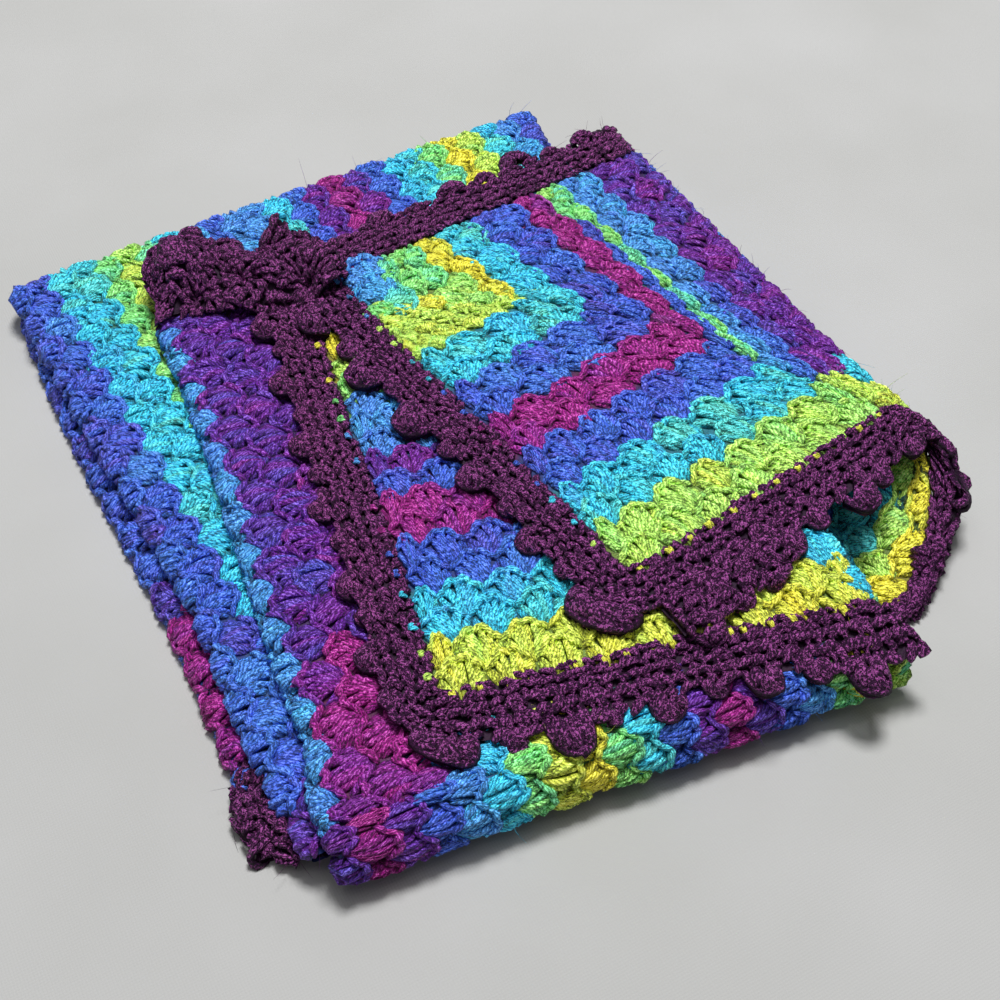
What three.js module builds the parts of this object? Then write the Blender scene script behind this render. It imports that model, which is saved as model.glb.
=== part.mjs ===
import * as THREE from 'three';

// A striped crochet afghan, folded into a flat stack of eight layers and lying on a table.
// Millimetres, Z up. Plan positions are measured from the stack's front left, +X along its front
// and +Y to its back, and the finished group is centred on its own footprint.

// The cloth
const CLOTH_THICKNESS = 3.8;
const LAYER_PITCH = 4.7;
const SWELL_SHARE = 0.05; // of its height, by which a layer rises and dips
const SWELL_SPAN = { x: 58, y: 74 };
const FOLD_BULGE = 2.5;
const FOLD_STEPS = 4;

// A row for each layer, from the table up: the left and right ends of its front and back in plan,
// its cells across and deep, and how far its left edge wanders. The layers lie askew on each
// other, as they were folded by hand.
const LAYERS = [
  { front: [[-18, 40], [250, 4]], back: [[-16, 342], [280, 316]], across: 5, deep: 13, wander: 2 },
  { front: [[-18, 44], [234, 20]], back: [[-16, 344], [270, 344]], across: 4, deep: 13, wander: 2 },
  { front: [[1, 6], [231, -8]], back: [[-16, 353], [272, 362]], across: 5, deep: 13, wander: 1 },
  { front: [[1, 6], [231, -8]], back: [[-16, 353], [272, 362]], across: 5, deep: 13, wander: 1 },
  { front: [[8, 7], [230, -17]], back: [[38, 288], [260, 258]], across: 6, deep: 10, wander: -2 },
  { front: [[8, 7], [230, -17]], back: [[38, 288], [260, 258]], across: 6, deep: 10, wander: -2 },
  { front: [[58, 37], [232, -3]], back: [[104, 268], [257, 230]], across: 5, deep: 10, wander: 1 },
  { front: [[149, 50], [298, 76]], back: [[119, 272], [288, 284]], across: 6, deep: 13, wander: 1 },
];
const [BASE, BASE_COVER, SLAB, SLAB_COVER, ROLL_INSIDE, ROLL_OUTSIDE, FLAP, TOP] = LAYERS.keys();

// Two of the layers hang over the front of the stack in one soft roll.
const ROLL = { steps: 3, foot: 9, bulge: 2.4, reach: { [ROLL_INSIDE]: 7, [ROLL_OUTSIDE]: 12 } };

// The top layer turns down over the right side to the base, and stands open over its front rows.
const WRAP = { bulge: 14, steps: 8, openBy: 11, openRows: 4 };

// The plum edging is worked on to the cloth's free edges: plain rows, then a row with picots.
const EDGING = { gap: 0.6, foldGap: 2.4, plain: 20, picot: 8, picotSpacing: 40, stiffTo: 8 };

// How far the edging's outer rows are stretched out along the top layer's front, drawn in round
// the wrap's mouth, tucked back where the mouth meets the table, and let hang along the flap.
const EASE = { top: 7, mouth: -6, tuck: -9, tuckedTo: 40, flap: [0, -6, -0.8], flapTo: 0.5 };
const STATION_SPACING = 8;
const CORNER_TURNS = 4;

// Behind the roll's layers a stretch of edging stands up in a ruffle at its left end.
const RUFFLE = { height: 24, fullTo: 0.12, goneBy: 0.24 };

const COLOURS = { body: 0x4a55c8, edging: 0x2c1230 };

// ---------------------------------------------------------------- points on the folded cloth

const LEFTWARD = new THREE.Vector3(-1, 0, 0);
const RIGHTWARD = new THREE.Vector3(1, 0, 0);
const BACKWARD = new THREE.Vector3(0, 1, 0);
const DOWNWARD = new THREE.Vector3(0, 0, -1);
const mix = (from, to, share) => from + (to - from) * share;

function layerHeight(index, x, y) {
  const height = CLOTH_THICKNESS / 2 + index * LAYER_PITCH;
  const swell = Math.sin(x / SWELL_SPAN.x) * Math.cos(y / SWELL_SPAN.y);
  return index === BASE ? height : height * (1 + SWELL_SHARE * swell);
}

// The point at a share of the way across (0 left, 1 right) and deep (0 front, 1 back).
// A depth below 0 runs down the front roll, to its foot at -1.
function layerPoint(index, across, depth) {
  const { front, back, wander } = LAYERS[index];
  const frontAt = front[0].map((from, axis) => mix(from, front[1][axis], across));
  const backAt = back[0].map((from, axis) => mix(from, back[1][axis], across));
  const deep = Math.max(depth, 0);
  const x = mix(frontAt[0], backAt[0], deep) + wander * (1 - across) * Math.sin(2 * Math.PI * deep);
  const y = mix(frontAt[1], backAt[1], deep);
  const z = layerHeight(index, x, y);
  if (depth >= 0) {
    return new THREE.Vector3(x, y, z);
  }
  const turn = (-depth * Math.PI) / 2;
  const forward = ROLL.reach[index] * Math.sin(turn);
  return new THREE.Vector3(x, y - forward, mix(ROLL.foot, z, Math.cos(turn)));
}

function wrapBulge(row) {
  const open = Math.max(0, 1 - row / WRAP.openRows);
  return WRAP.bulge + WRAP.openBy * open * open;
}

// A point on the half turn that joins two edges, from the lower one at 0 to the upper one at 1.
function foldPoint(lower, upper, outward, bulge, share) {
  const turn = share * Math.PI;
  return lower
    .clone()
    .lerp(upper, (1 - Math.cos(turn)) / 2)
    .addScaledVector(outward, bulge * Math.sin(turn));
}

// ---------------------------------------------------------------- cloth as a sheet of cells

// The middle surface of some cloth, in four-sided cells that share their points.
class Sheet {
  constructor() {
    this.points = [];
    this.cells = [];
  }

  add(point) {
    this.points.push(point);
    return this.points.length - 1;
  }

  // Joins rows of points into cells, which face the other way if they are turned over.
  addRows(rows, turnedOver = false) {
    for (let r = 0; r + 1 < rows.length; r += 1) {
      for (let c = 0; c + 1 < rows[r].length; c += 1) {
        const cell = [rows[r][c], rows[r][c + 1], rows[r + 1][c + 1], rows[r + 1][c]];
        this.cells.push(turnedOver ? cell.reverse() : cell);
      }
    }
  }

  // The cloth as a closed solid: both faces, and a rim along every free edge.
  thicken(thickness) {
    const normals = this.points.map(() => new THREE.Vector3());
    for (const cell of this.cells) {
      const [a, b, c, d] = cell.map((id) => this.points[id]);
      const normal = c.clone().sub(a).cross(d.clone().sub(b));
      cell.forEach((id) => normals[id].add(normal));
    }
    const corners = [thickness / 2, -thickness / 2].flatMap((offset) =>
      this.points.map((point, id) => point.clone().addScaledVector(normals[id].normalize(), offset)),
    );
    const under = this.points.length;
    const triangles = [];
    const addFour = (a, b, c, d) => triangles.push(a, b, c, a, c, d);
    const edges = new Set();
    for (const [a, b, c, d] of this.cells) {
      addFour(a, b, c, d);
      addFour(d + under, c + under, b + under, a + under);
      [[a, b], [b, c], [c, d], [d, a]].forEach((edge) => edges.add(edge.join()));
    }
    for (const edge of edges) {
      const [from, to] = edge.split(',').map(Number);
      if (edges.has(`${to},${from}`)) {
        continue;
      }
      // Cut across the shorter diagonal, so that two rims side by side are cut alike.
      const [a, b, c, d] = [to, from, from + under, to + under];
      const across = corners[a].distanceTo(corners[c]) - corners[b].distanceTo(corners[d]);
      if (across < 0) {
        addFour(a, b, c, d);
      } else {
        addFour(b, c, d, a);
      }
    }
    const geometry = new THREE.BufferGeometry().setFromPoints(corners);
    geometry.setIndex(triangles);
    geometry.computeVertexNormals();
    return geometry;
  }
}

// ---------------------------------------------------------------- the striped body

// One layer's rows of points from front to back, the roll's first. Every second layer faces
// down, because the cloth turns over at each fold.
function addLayer(sheet, index) {
  const { across, deep } = LAYERS[index];
  const rollSteps = ROLL.reach[index] ? ROLL.steps : 0;
  const rows = [];
  for (let r = -rollSteps; r <= deep; r += 1) {
    const depth = r < 0 ? r / rollSteps : r / deep;
    const points = Array.from({ length: across + 1 }, (_, c) => layerPoint(index, c / across, depth));
    rows.push(points.map((point) => sheet.add(point)));
  }
  sheet.addRows(rows, index % 2 === 1);
  return { index, rows, flat: rows.slice(rollSteps) };
}

// A layer's edges, each anticlockwise seen from above. Left is whole; front and back leave out
// the left corner.
const leftEdge = (layer) => layer.rows.map((row) => row[0]).reverse();
const frontEdge = (layer) => layer.rows[0].slice(1);
const backEdge = (layer) => layer.rows.at(-1).slice(1).reverse();
const rightEdge = (layer, first, last) => layer.flat.slice(first, last + 1).map((row) => row.at(-1));

// The half turn between two layers. Each run holds matching points of their edges, the way out
// of the stack there (and at a corner, if it turns one), and how far the turn bulges at a row.
function addFold(sheet, below, runs, steps) {
  const lower = runs.flatMap((run) => run.lower);
  const upper = runs.flatMap((run) => run.upper);
  const wayOutAt = (run, k) => (k === run.corner ? run.cornerway : run.outward);
  const outward = runs.flatMap((run) => run.lower.map((_, k) => wayOutAt(run, k)));
  const bulge = runs.flatMap((run) => run.lower.map((_, row) => run.bulge(row)));
  const rings = [lower];
  for (let s = 1; s < steps; s += 1) {
    rings.push(
      lower.map((id, k) =>
        sheet.add(foldPoint(sheet.points[id], sheet.points[upper[k]], outward[k], bulge[k], s / steps)),
      ),
    );
  }
  sheet.addRows([...rings, upper], below.index % 2 === 0);
}

function makeBody() {
  const sheet = new Sheet();
  const layers = LAYERS.map((_, index) => addLayer(sheet, index));
  const leftRun = (below, above, corner = {}) => ({
    lower: leftEdge(below),
    upper: leftEdge(above),
    outward: LEFTWARD,
    bulge: () => FOLD_BULGE,
    ...corner,
  });
  const rightRun = (below, above, bulge, first, last) => ({
    lower: rightEdge(below, first, last),
    upper: rightEdge(above, first, last),
    outward: RIGHTWARD,
    bulge,
  });

  // Folds on the right: the layer below, the layer above, and the rows that they share.
  const rightFolds = [
    { below: BASE_COVER, above: SLAB, first: 0, last: 13 },
    { below: SLAB_COVER, above: ROLL_INSIDE, first: 0, last: 10 },
    { below: ROLL_OUTSIDE, above: FLAP, first: 1, last: 10 },
  ];
  for (const { below, above, first, last } of rightFolds) {
    const run = rightRun(layers[below], layers[above], () => FOLD_BULGE, first, last);
    addFold(sheet, layers[below], [run], FOLD_STEPS);
  }
  addFold(sheet, layers[BASE], [rightRun(layers[BASE], layers[TOP], wrapBulge, 0, 13)], WRAP.steps);

  // Folds on the left. The slab is doubled over along its back too, and the roll along its foot.
  const [base, baseCover, slab, slabCover, inside, outside] = layers;
  addFold(sheet, base, [leftRun(base, baseCover)], FOLD_STEPS);
  const backRun = {
    lower: backEdge(slab),
    upper: backEdge(slabCover),
    outward: BACKWARD,
    bulge: () => FOLD_BULGE,
  };
  const backCorner = { corner: 0, cornerway: BACKWARD.clone().add(LEFTWARD).normalize() };
  addFold(sheet, slab, [backRun, leftRun(slab, slabCover, backCorner)], FOLD_STEPS);
  const footRun = {
    lower: frontEdge(inside),
    upper: frontEdge(outside),
    outward: DOWNWARD,
    bulge: () => ROLL.bulge,
  };
  const footCorner = {
    corner: inside.rows.length - 1,
    cornerway: DOWNWARD.clone().add(LEFTWARD).normalize(),
  };
  addFold(sheet, inside, [leftRun(inside, outside, footCorner), footRun], FOLD_STEPS);
  return sheet.thicken(CLOTH_THICKNESS);
}

// ---------------------------------------------------------------- the plum edging

// A station is a point on the cloth's edge, the way out from it, and where the edging's outer
// rows are pushed to.
const sideOf = {
  front: (index, share) => [layerPoint(index, share, 1), layerPoint(index, share, 0)],
  back: (index, share) => [layerPoint(index, share, 0), layerPoint(index, share, 1)],
  left: (index, share) => [layerPoint(index, 1, share), layerPoint(index, 0, share)],
};

function stationAt(index, side, share) {
  const [inside, edge] = sideOf[side](index, share);
  return { at: edge, out: edge.clone().sub(inside).setZ(0).normalize(), push: new THREE.Vector3() };
}

// Stations along one side of a layer, from one share of it to another.
function alongSide(index, side, from, to) {
  const first = stationAt(index, side, from);
  const last = stationAt(index, side, to);
  const steps = Math.ceil(first.at.distanceTo(last.at) / STATION_SPACING);
  return Array.from({ length: steps + 1 }, (_, k) => stationAt(index, side, mix(from, to, k / steps)));
}

// Stations that turn round one corner, between two sides' ways out.
function roundCorner(before, after) {
  return Array.from({ length: CORNER_TURNS - 1 }, (_, k) => ({
    at: before.at,
    out: before.out.clone().lerp(after.out, (k + 1) / CORNER_TURNS).normalize(),
    push: new THREE.Vector3(),
  }));
}

// Stations up a fold's open end, a little further off because the rim twists there. The way out
// runs on from the row inside.
function roundFold({ below, above, across, edge, inside, outward, bulges, steps }) {
  const foldAt = (depth, bulge, share) =>
    foldPoint(layerPoint(below, across, depth), layerPoint(above, across, depth), outward, bulge, share);
  return Array.from({ length: steps - 1 }, (_, k) => {
    const share = (k + 1) / steps;
    const at = foldAt(edge, bulges[0], share);
    const out = at.clone().sub(foldAt(inside, bulges[1], share)).normalize();
    return { at: at.addScaledVector(out, EDGING.foldGap - EDGING.gap), out, push: new THREE.Vector3() };
  });
}

// The edging over a run of stations, as a solid with its picots.
function makeEdging(stations) {
  const sheet = new Sheet();
  const rows = [];
  let travelled = 0;
  let previous = null;
  for (const { at, out, push } of stations) {
    const middle = at.clone().addScaledVector(out, EDGING.plain / 2);
    travelled += previous ? middle.distanceTo(previous) : 0;
    previous = middle;
    const wave = Math.sin((2 * Math.PI * travelled) / EDGING.picotSpacing);
    const picot = EDGING.picot * Math.max(0, wave);
    const reaches = [EDGING.gap, EDGING.stiffTo, EDGING.plain * 0.75, EDGING.plain + picot];
    rows.push(
      reaches.map((reach) => {
        const pushed = THREE.MathUtils.smoothstep(reach, EDGING.stiffTo, EDGING.plain + EDGING.picot);
        return sheet.add(at.clone().addScaledVector(out, reach).addScaledVector(push, pushed));
      }),
    );
  }
  sheet.addRows(rows);
  return sheet.thicken(CLOTH_THICKNESS);
}

// Rises from 0 to 1 over a margin at each end of a side.
function hump(share, margin) {
  return THREE.MathUtils.smoothstep(Math.min(share, 1 - share), 0, margin);
}

// The top layer's three free sides, and on round the wrap to the front of the base.
function topStations() {
  const back = alongSide(TOP, 'back', 1, 0);
  const left = alongSide(TOP, 'left', 1, 0);
  const front = alongSide(TOP, 'front', 0, 1);
  const baseFront = alongSide(BASE, 'front', 1, 0);
  const coverFront = alongSide(BASE_COVER, 'front', 0, 0.96);
  const wrap = { below: BASE, above: TOP, across: 1, outward: RIGHTWARD, steps: WRAP.steps };
  const wrapBack = { ...wrap, edge: 1, inside: 12 / 13, bulges: [WRAP.bulge, WRAP.bulge] };
  const openBulges = [wrapBulge(0), wrapBulge(1)];
  const wrapFront = { ...wrap, edge: 0, inside: 1 / 13, bulges: openBulges };
  const leftFold = {
    below: BASE,
    above: BASE_COVER,
    across: 0,
    outward: LEFTWARD,
    steps: FOLD_STEPS,
    edge: 0,
    inside: 1 / 13,
    bulges: [FOLD_BULGE, FOLD_BULGE],
  };
  const mouth = roundFold(wrapFront);
  front.forEach(({ out, push }, k) => {
    const share = k / (front.length - 1);
    push.addScaledVector(out, EASE.top * hump(share, 0.2));
  });
  mouth.forEach(({ out, push }, k) => {
    const share = (k + 1) / WRAP.steps;
    push.addScaledVector(RIGHTWARD, EASE.mouth * Math.sin(share * Math.PI));
    push.addScaledVector(out, EASE.tuck * (1 - THREE.MathUtils.smoothstep(share, 0.1, 0.5)));
  });
  baseFront.forEach(({ at, out, push }) => {
    const away = at.distanceTo(baseFront[0].at) / EASE.tuckedTo;
    push.addScaledVector(out, EASE.tuck * (1 - THREE.MathUtils.smoothstep(away, 0, 1)));
  });
  return [
    ...roundFold(wrapBack).slice(2),
    ...back,
    ...roundCorner(back.at(-1), left[0]),
    ...left,
    ...roundCorner(left.at(-1), front[0]),
    ...front,
    ...mouth.reverse(),
    ...baseFront,
    ...roundFold(leftFold),
    ...coverFront,
  ];
}

// The flap's free sides.
function flapStations() {
  const back = alongSide(FLAP, 'back', 0.9, 0);
  const left = alongSide(FLAP, 'left', 1, 0);
  const front = alongSide(FLAP, 'front', 0, 1);
  front.forEach(({ push }, k) => {
    const share = k / (front.length - 1) / EASE.flapTo;
    push.fromArray(EASE.flap).multiplyScalar(Math.sin(Math.PI * Math.min(share, 1)));
  });
  return [
    ...back,
    ...roundCorner(back.at(-1), left[0]),
    ...left,
    ...roundCorner(left.at(-1), front[0]),
    ...front,
  ];
}

// The back of the roll's outer layer, with the ruffle.
function ruffleStations() {
  const stations = alongSide(ROLL_OUTSIDE, 'back', 1, 0);
  stations.forEach((station, k) => {
    const across = 1 - k / (stations.length - 1);
    const settled = THREE.MathUtils.smoothstep(across, RUFFLE.fullTo, RUFFLE.goneBy);
    station.push.z = RUFFLE.height * (1 - settled);
  });
  return stations;
}

// ---------------------------------------------------------------- the afghan

function addPiece(group, name, geometry, color) {
  const yarn = new THREE.MeshStandardMaterial({ color, roughness: 0.85, metalness: 0 });
  const mesh = new THREE.Mesh(geometry, yarn);
  mesh.name = name;
  group.add(mesh);
}

const afghan = new THREE.Group();
addPiece(afghan, 'striped_body', makeBody(), COLOURS.body);
addPiece(afghan, 'edging_top', makeEdging(topStations()), COLOURS.edging);
addPiece(afghan, 'edging_flap', makeEdging(flapStations()), COLOURS.edging);
addPiece(afghan, 'edging_ruffle', makeEdging(ruffleStations()), COLOURS.edging);

const footprint = new THREE.Box3().setFromObject(afghan);
const middle = footprint.getCenter(new THREE.Vector3());
afghan.position.set(-middle.x, -middle.y, -footprint.min.z);

export default afghan;
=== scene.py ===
import math

import bmesh
import bpy
import numpy as np
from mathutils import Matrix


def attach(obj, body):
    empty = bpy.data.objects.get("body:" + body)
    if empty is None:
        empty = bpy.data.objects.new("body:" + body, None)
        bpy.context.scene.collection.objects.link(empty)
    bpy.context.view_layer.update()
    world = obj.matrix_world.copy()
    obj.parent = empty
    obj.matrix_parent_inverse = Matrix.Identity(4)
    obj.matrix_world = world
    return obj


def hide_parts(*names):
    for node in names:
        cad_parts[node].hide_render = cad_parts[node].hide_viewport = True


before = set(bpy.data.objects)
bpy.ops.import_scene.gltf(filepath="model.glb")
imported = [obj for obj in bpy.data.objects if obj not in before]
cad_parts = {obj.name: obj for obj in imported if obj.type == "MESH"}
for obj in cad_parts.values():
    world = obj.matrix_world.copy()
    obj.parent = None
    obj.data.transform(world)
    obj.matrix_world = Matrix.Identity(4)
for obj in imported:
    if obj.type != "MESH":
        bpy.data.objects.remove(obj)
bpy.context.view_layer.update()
scene = bpy.context.scene


# ---------------------------------------------------------------- table, view and light
# The afghan lies on a table spread with a plain pale sheet of woven cotton. Broad soft light
# comes from above and behind, and the view is from the front left, down at 50 degrees.


def linear(hex_colour):
    """An sRGB hex colour as the linear colour that the shaders take."""
    parts = [int(hex_colour[at : at + 2], 16) / 255 for at in (1, 3, 5)]
    return [p / 12.92 if p <= 0.04045 else ((p + 0.055) / 1.055) ** 2.4 for p in parts] + [1.0]


def plug(tree, node, inputs):
    """Sets a node's inputs: each to a value, or linked from a socket."""
    for name, value in inputs.items():
        if isinstance(value, bpy.types.NodeSocket):
            tree.links.new(value, node.inputs[name])
        else:
            node.inputs[name].default_value = value


def add(tree, kind, inputs=None, **settings):
    """Adds a node, with its inputs and with its settings by name."""
    made = tree.nodes.new(kind)
    for name, value in settings.items():
        setattr(made, name, value)
    plug(tree, made, inputs or {})
    return made


def colour_steps(ramp, steps):
    """Gives a colour ramp its steps, each as a position and a hex colour."""
    made = ramp.color_ramp.elements
    while len(made) < len(steps):
        made.new(0.5)
    for k, (position, colour) in enumerate(steps):
        made[k].position = position
        made[k].color = linear(colour)


def new_material(name):
    material = bpy.data.materials.new(name)
    material.use_nodes = True
    return material, material.node_tree, material.node_tree.nodes["Principled BSDF"]


def cotton_sheet():
    # Woven cotton: matt, with a thread spacing of 0.6 mm (drawn at 1.2 so that it shows), and
    # faint slow creases from lying folded.
    material, tree, shader = new_material("woven_cotton_sheet")
    place = add(tree, "ShaderNodeTexCoord").outputs["Object"]
    bands_1_2_mm_apart = 260.0
    threads = [
        add(
            tree,
            "ShaderNodeTexWave",
            {"Vector": place, "Scale": bands_1_2_mm_apart, "Distortion": 1.2, "Detail": 1.0},
            bands_direction=axis,
        ).outputs[1]
        for axis in ("X", "Y")
    ]
    weave = add(tree, "ShaderNodeMath", dict(enumerate(threads)), operation="ADD")
    slow = add(tree, "ShaderNodeTexNoise", {"Vector": place, "Scale": 7.0, "Detail": 3.0})
    tone = add(tree, "ShaderNodeValToRGB", {0: slow.outputs[0]})
    colour_steps(tone, [(0.35, "#b9b9b7"), (0.7, "#c0c0bf")])
    fine = add(
        tree, "ShaderNodeBump", {"Height": weave.outputs[0], "Strength": 0.12, "Distance": 0.0003}
    )
    creases = add(
        tree,
        "ShaderNodeBump",
        {"Height": slow.outputs[0], "Normal": fine.outputs[0], "Strength": 0.35, "Distance": 0.004},
    )
    plug(tree, shader, {"Base Color": tone.outputs[0], "Normal": creases.outputs[0]})
    plug(tree, shader, {"Roughness": 0.85, "Specular IOR Level": 0.3})
    return material


bpy.ops.mesh.primitive_plane_add(size=6.0, location=(0, 0, 0))
table = bpy.context.object
table.name = "table_sheet"
table.data.materials.append(cotton_sheet())

lens = bpy.data.cameras.new("view")
lens.lens = 53.64
lens.sensor_width = 36.0
camera = bpy.data.objects.new("view", lens)
camera.location = (-0.2099, -0.4128, 0.5133)
camera.rotation_euler = (math.radians(40), 0, math.radians(-28))
scene.collection.objects.link(camera)
scene.camera = camera


def soft_lamp(name, place, size, power):
    """A square lamp of a size in metres and a power in watts, which faces the afghan."""
    lamp = bpy.data.lights.new(name, "AREA")
    lamp.shape = "SQUARE"
    lamp.size = size
    lamp.energy = power
    made = bpy.data.objects.new(name, lamp)
    made.location = place
    made.rotation_euler = (-made.location).to_track_quat("-Z", "Y").to_euler()
    scene.collection.objects.link(made)


soft_lamp("window_behind", (0.5, 0.65, 3.0), 0.8, 92.0)
soft_lamp("ceiling", (-0.2, 0.1, 3.0), 2.2, 15.0)

# The room is pale where it is seen, and lights the cloth only a little.
ROOM_LIGHT, ROOM_SEEN = 0.14, 0.7
room = bpy.data.worlds.new("room")
room.use_nodes = True
sky = room.node_tree.nodes["Background"]
seen = add(room.node_tree, "ShaderNodeLightPath").outputs["Is Camera Ray"]
strength = add(room.node_tree, "ShaderNodeMapRange", {0: seen, 3: ROOM_LIGHT, 4: ROOM_SEEN})
plug(room.node_tree, sky, {"Color": linear("#f2f3f5"), "Strength": strength.outputs[0]})
scene.world = room
scene.view_settings.view_transform = "Standard"


# ---------------------------------------------------------------- the folded cloth
# One crocheted cloth of worsted acrylic, folded back and forth by hand into eight layers.
# This is the thin ground of the fabric, which shows only deep between the stitches. Its
# colour is painted dark there, as shade.

# The layers from the table up, in millimetres: left and right ends of the front and of the
# back, and how far the left edge wanders. The part's own plan, before it is centred.
LAYERS = np.array([
    [[-18, 40], [250, 4], [-16, 342], [280, 316]],
    [[-18, 44], [234, 20], [-16, 344], [270, 344]],
    [[1, 6], [231, -8], [-16, 353], [272, 362]],
    [[1, 6], [231, -8], [-16, 353], [272, 362]],
    [[8, 7], [230, -17], [38, 288], [260, 258]],
    [[8, 7], [230, -17], [38, 288], [260, 258]],
    [[58, 37], [232, -3], [104, 268], [257, 230]],
    [[149, 50], [298, 76], [119, 272], [288, 284]],
], dtype=float)
WANDER = [2, 2, 1, 1, -2, -2, 1, 1]
BASE, COVER, SLAB, SLAB_TOP, ROLL_IN, ROLL_OUT, FLAP, TOP = range(8)
CENTRING = np.array([-144.6046, -167.7588, 0.0])  # from that plan to the part's frame
LOWEST = 1.9  # the lowest layer's height
LAYER_STEP = 4.7
FOLD_REACH = 2.5  # of a tight fold past the layers' edges
WRAP_REACH, MOUTH_REACH = 14, 11  # of the wrap, and what its open mouth adds
ROLL_REACH = {ROLL_IN: 7.0, ROLL_OUT: 12.0}  # of the roll's nose past the front edge
ROLL_FOOT = 9.0  # the height at which the nose turns under
ROLL_UNDER = 3.5  # how far the cloth drops from there
ROLL_ARC = 23.0  # of cloth over the roll's nose, from the top to its foot
# How far the front left corners are drawn out, and over what share of the depth.
DRAWN_OUT = {SLAB: (8.0, 0.42), SLAB_TOP: (8.0, 0.42), ROLL_IN: (6.0, 0.14), ROLL_OUT: (7.0, 0.14)}


def layer_height(layer, x, y):
    """The base lies flat, and the layers over it rise and fall slowly by a twentieth."""
    height = LOWEST + LAYER_STEP * layer
    return height + 0 * x if layer == BASE else height * (1 + 0.05 * np.sin(x / 58) * np.cos(y / 74))


def side_lengths(layer, across, deep):
    """The layer's width at a share of its depth, and its depth at a share of its width."""
    fl, fr, bl, br = LAYERS[layer]
    width = np.hypot(*(fr - fl)) * (1 - deep) + np.hypot(*(br - bl)) * deep
    depth = np.hypot(*(bl - fl)) * (1 - across) + np.hypot(*(br - fr)) * across
    return width, depth


def wrap_bulge(deep):
    """How far the wrap stands out: more over the front four thirteenths, at its mouth."""
    return WRAP_REACH + MOUTH_REACH * np.clip(1 - 13 * deep / 4, 0, 1) ** 2


def lay(layer, across, deep):
    """Points on the cloth at shares of a layer's width and depth, in millimetres.

    Past an edge they follow the cloth round its fold: the wrap on the top layer's right, the
    roll on the front of the roll's layers, and a tight half turn everywhere else.
    """
    a, b = np.clip(across, 0, 1), np.clip(deep, 0, 1)
    fl, fr, bl, br = LAYERS[layer]
    x, y = (
        (fl[k] + (fr[k] - fl[k]) * a) * (1 - b) + (bl[k] + (br[k] - bl[k]) * a) * b for k in (0, 1)
    )
    x = x + WANDER[layer] * (1 - a) * np.sin(2 * np.pi * b)
    if layer in DRAWN_OUT:
        by, over = DRAWN_OUT[layer]
        fading = np.clip(1.4 - 1.4 * b / over, 0, 1)
        x = x - by * (1 - a) ** 4 * fading**2 * (3 - 2 * fading)
    z = layer_height(layer, x, y)
    width, depth = side_lengths(layer, a, b)
    over_x, over_y = (across - a) * width, (deep - b) * depth
    up = np.zeros(np.shape(x) + (3,))
    up[..., 2] = 1.0
    if layer in ROLL_REACH:
        # Over the nose, down to the roll's foot, and a little way back under it.
        turn = np.clip(-over_y / ROLL_ARC, 0, 1.5) * np.pi / 2
        y = y - ROLL_REACH[layer] * np.sin(turn)
        z = ROLL_FOOT + np.where(turn < np.pi / 2, z - ROLL_FOOT, ROLL_UNDER) * np.cos(turn)
        up = np.stack([0 * turn, -np.sin(turn), np.cos(turn)], -1)
        over_y = np.maximum(over_y, 0)
    points = np.stack([x, y, z], -1)
    if layer == TOP:
        # Round the right side in half an ellipse, down to the base's right edge.
        bulge = wrap_bulge(b)
        half = np.pi * np.sqrt(((z - LOWEST) ** 2 / 4 + bulge**2) / 2)
        turn = np.clip(over_x / half, 0, 1) * np.pi
        _, under_front, _, under_back = LAYERS[BASE]
        low_x, low_y = (under_front[k] + (under_back[k] - under_front[k]) * b for k in (0, 1))
        low = np.stack([low_x, low_y, LOWEST + 0 * b], -1)
        share = ((1 + np.cos(turn)) / 2)[..., None]
        points = low + (points - low) * share
        points[..., 0] += bulge * np.sin(turn)
        up = np.stack([np.sin(turn), 0 * turn, np.cos(turn)], -1)
        over_x = np.minimum(over_x, 0)
    # Past any other edge, half a turn down and then straight back under it.
    out = np.hypot(over_x, over_y)
    angle = np.clip(out / FOLD_REACH, 0, np.pi)
    past = np.maximum(out - np.pi * FOLD_REACH, 0)
    safe = np.maximum(out, 1e-9)
    ways = np.stack([over_x / safe, over_y / safe, 0 * safe], -1)
    outward = (FOLD_REACH * np.sin(angle) - past)[..., None]
    inward = (FOLD_REACH * (1 - np.cos(angle)))[..., None]
    return points + ways * outward - up * inward


def unit(vectors):
    return vectors / np.maximum(np.linalg.norm(vectors, axis=-1, keepdims=True), 1e-9)


def lay_with_height(layer, across, deep, height):
    """The same points, stood off the cloth by a height in millimetres."""
    near = 0.6  # to either side, to find which way the cloth faces
    width, depth = side_lengths(layer, 0.5, 0.5)
    da, db = near / width, near / depth
    along = lay(layer, across + da, deep) - lay(layer, across - da, deep)
    back = lay(layer, across, deep + db) - lay(layer, across, deep - db)
    return lay(layer, across, deep) + unit(np.cross(along, back)) * height[..., None]


# The stripe colours, as one number along the yarn's own run of dyes.
MAGENTA, PURPLE, PERIWINKLE, LIGHT_BLUE, TURQUOISE, GREEN, LIME, YELLOW = np.arange(8) / 7
DYES = ["#ae0c92", "#6a14a6", "#4069e6", "#50a4f6", "#36deff", "#8af48a", "#d2ff6a", "#fff43e"]


def stripes(at, *bands):
    """The dye at each place, from bands given as (place where the band begins, dye)."""
    begins = np.array([begin for begin, _ in bands])
    dyes = np.array([dye for _, dye in bands])
    return dyes[np.clip(np.searchsorted(begins, at, side="right") - 1, 0, len(bands) - 1)]


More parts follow.
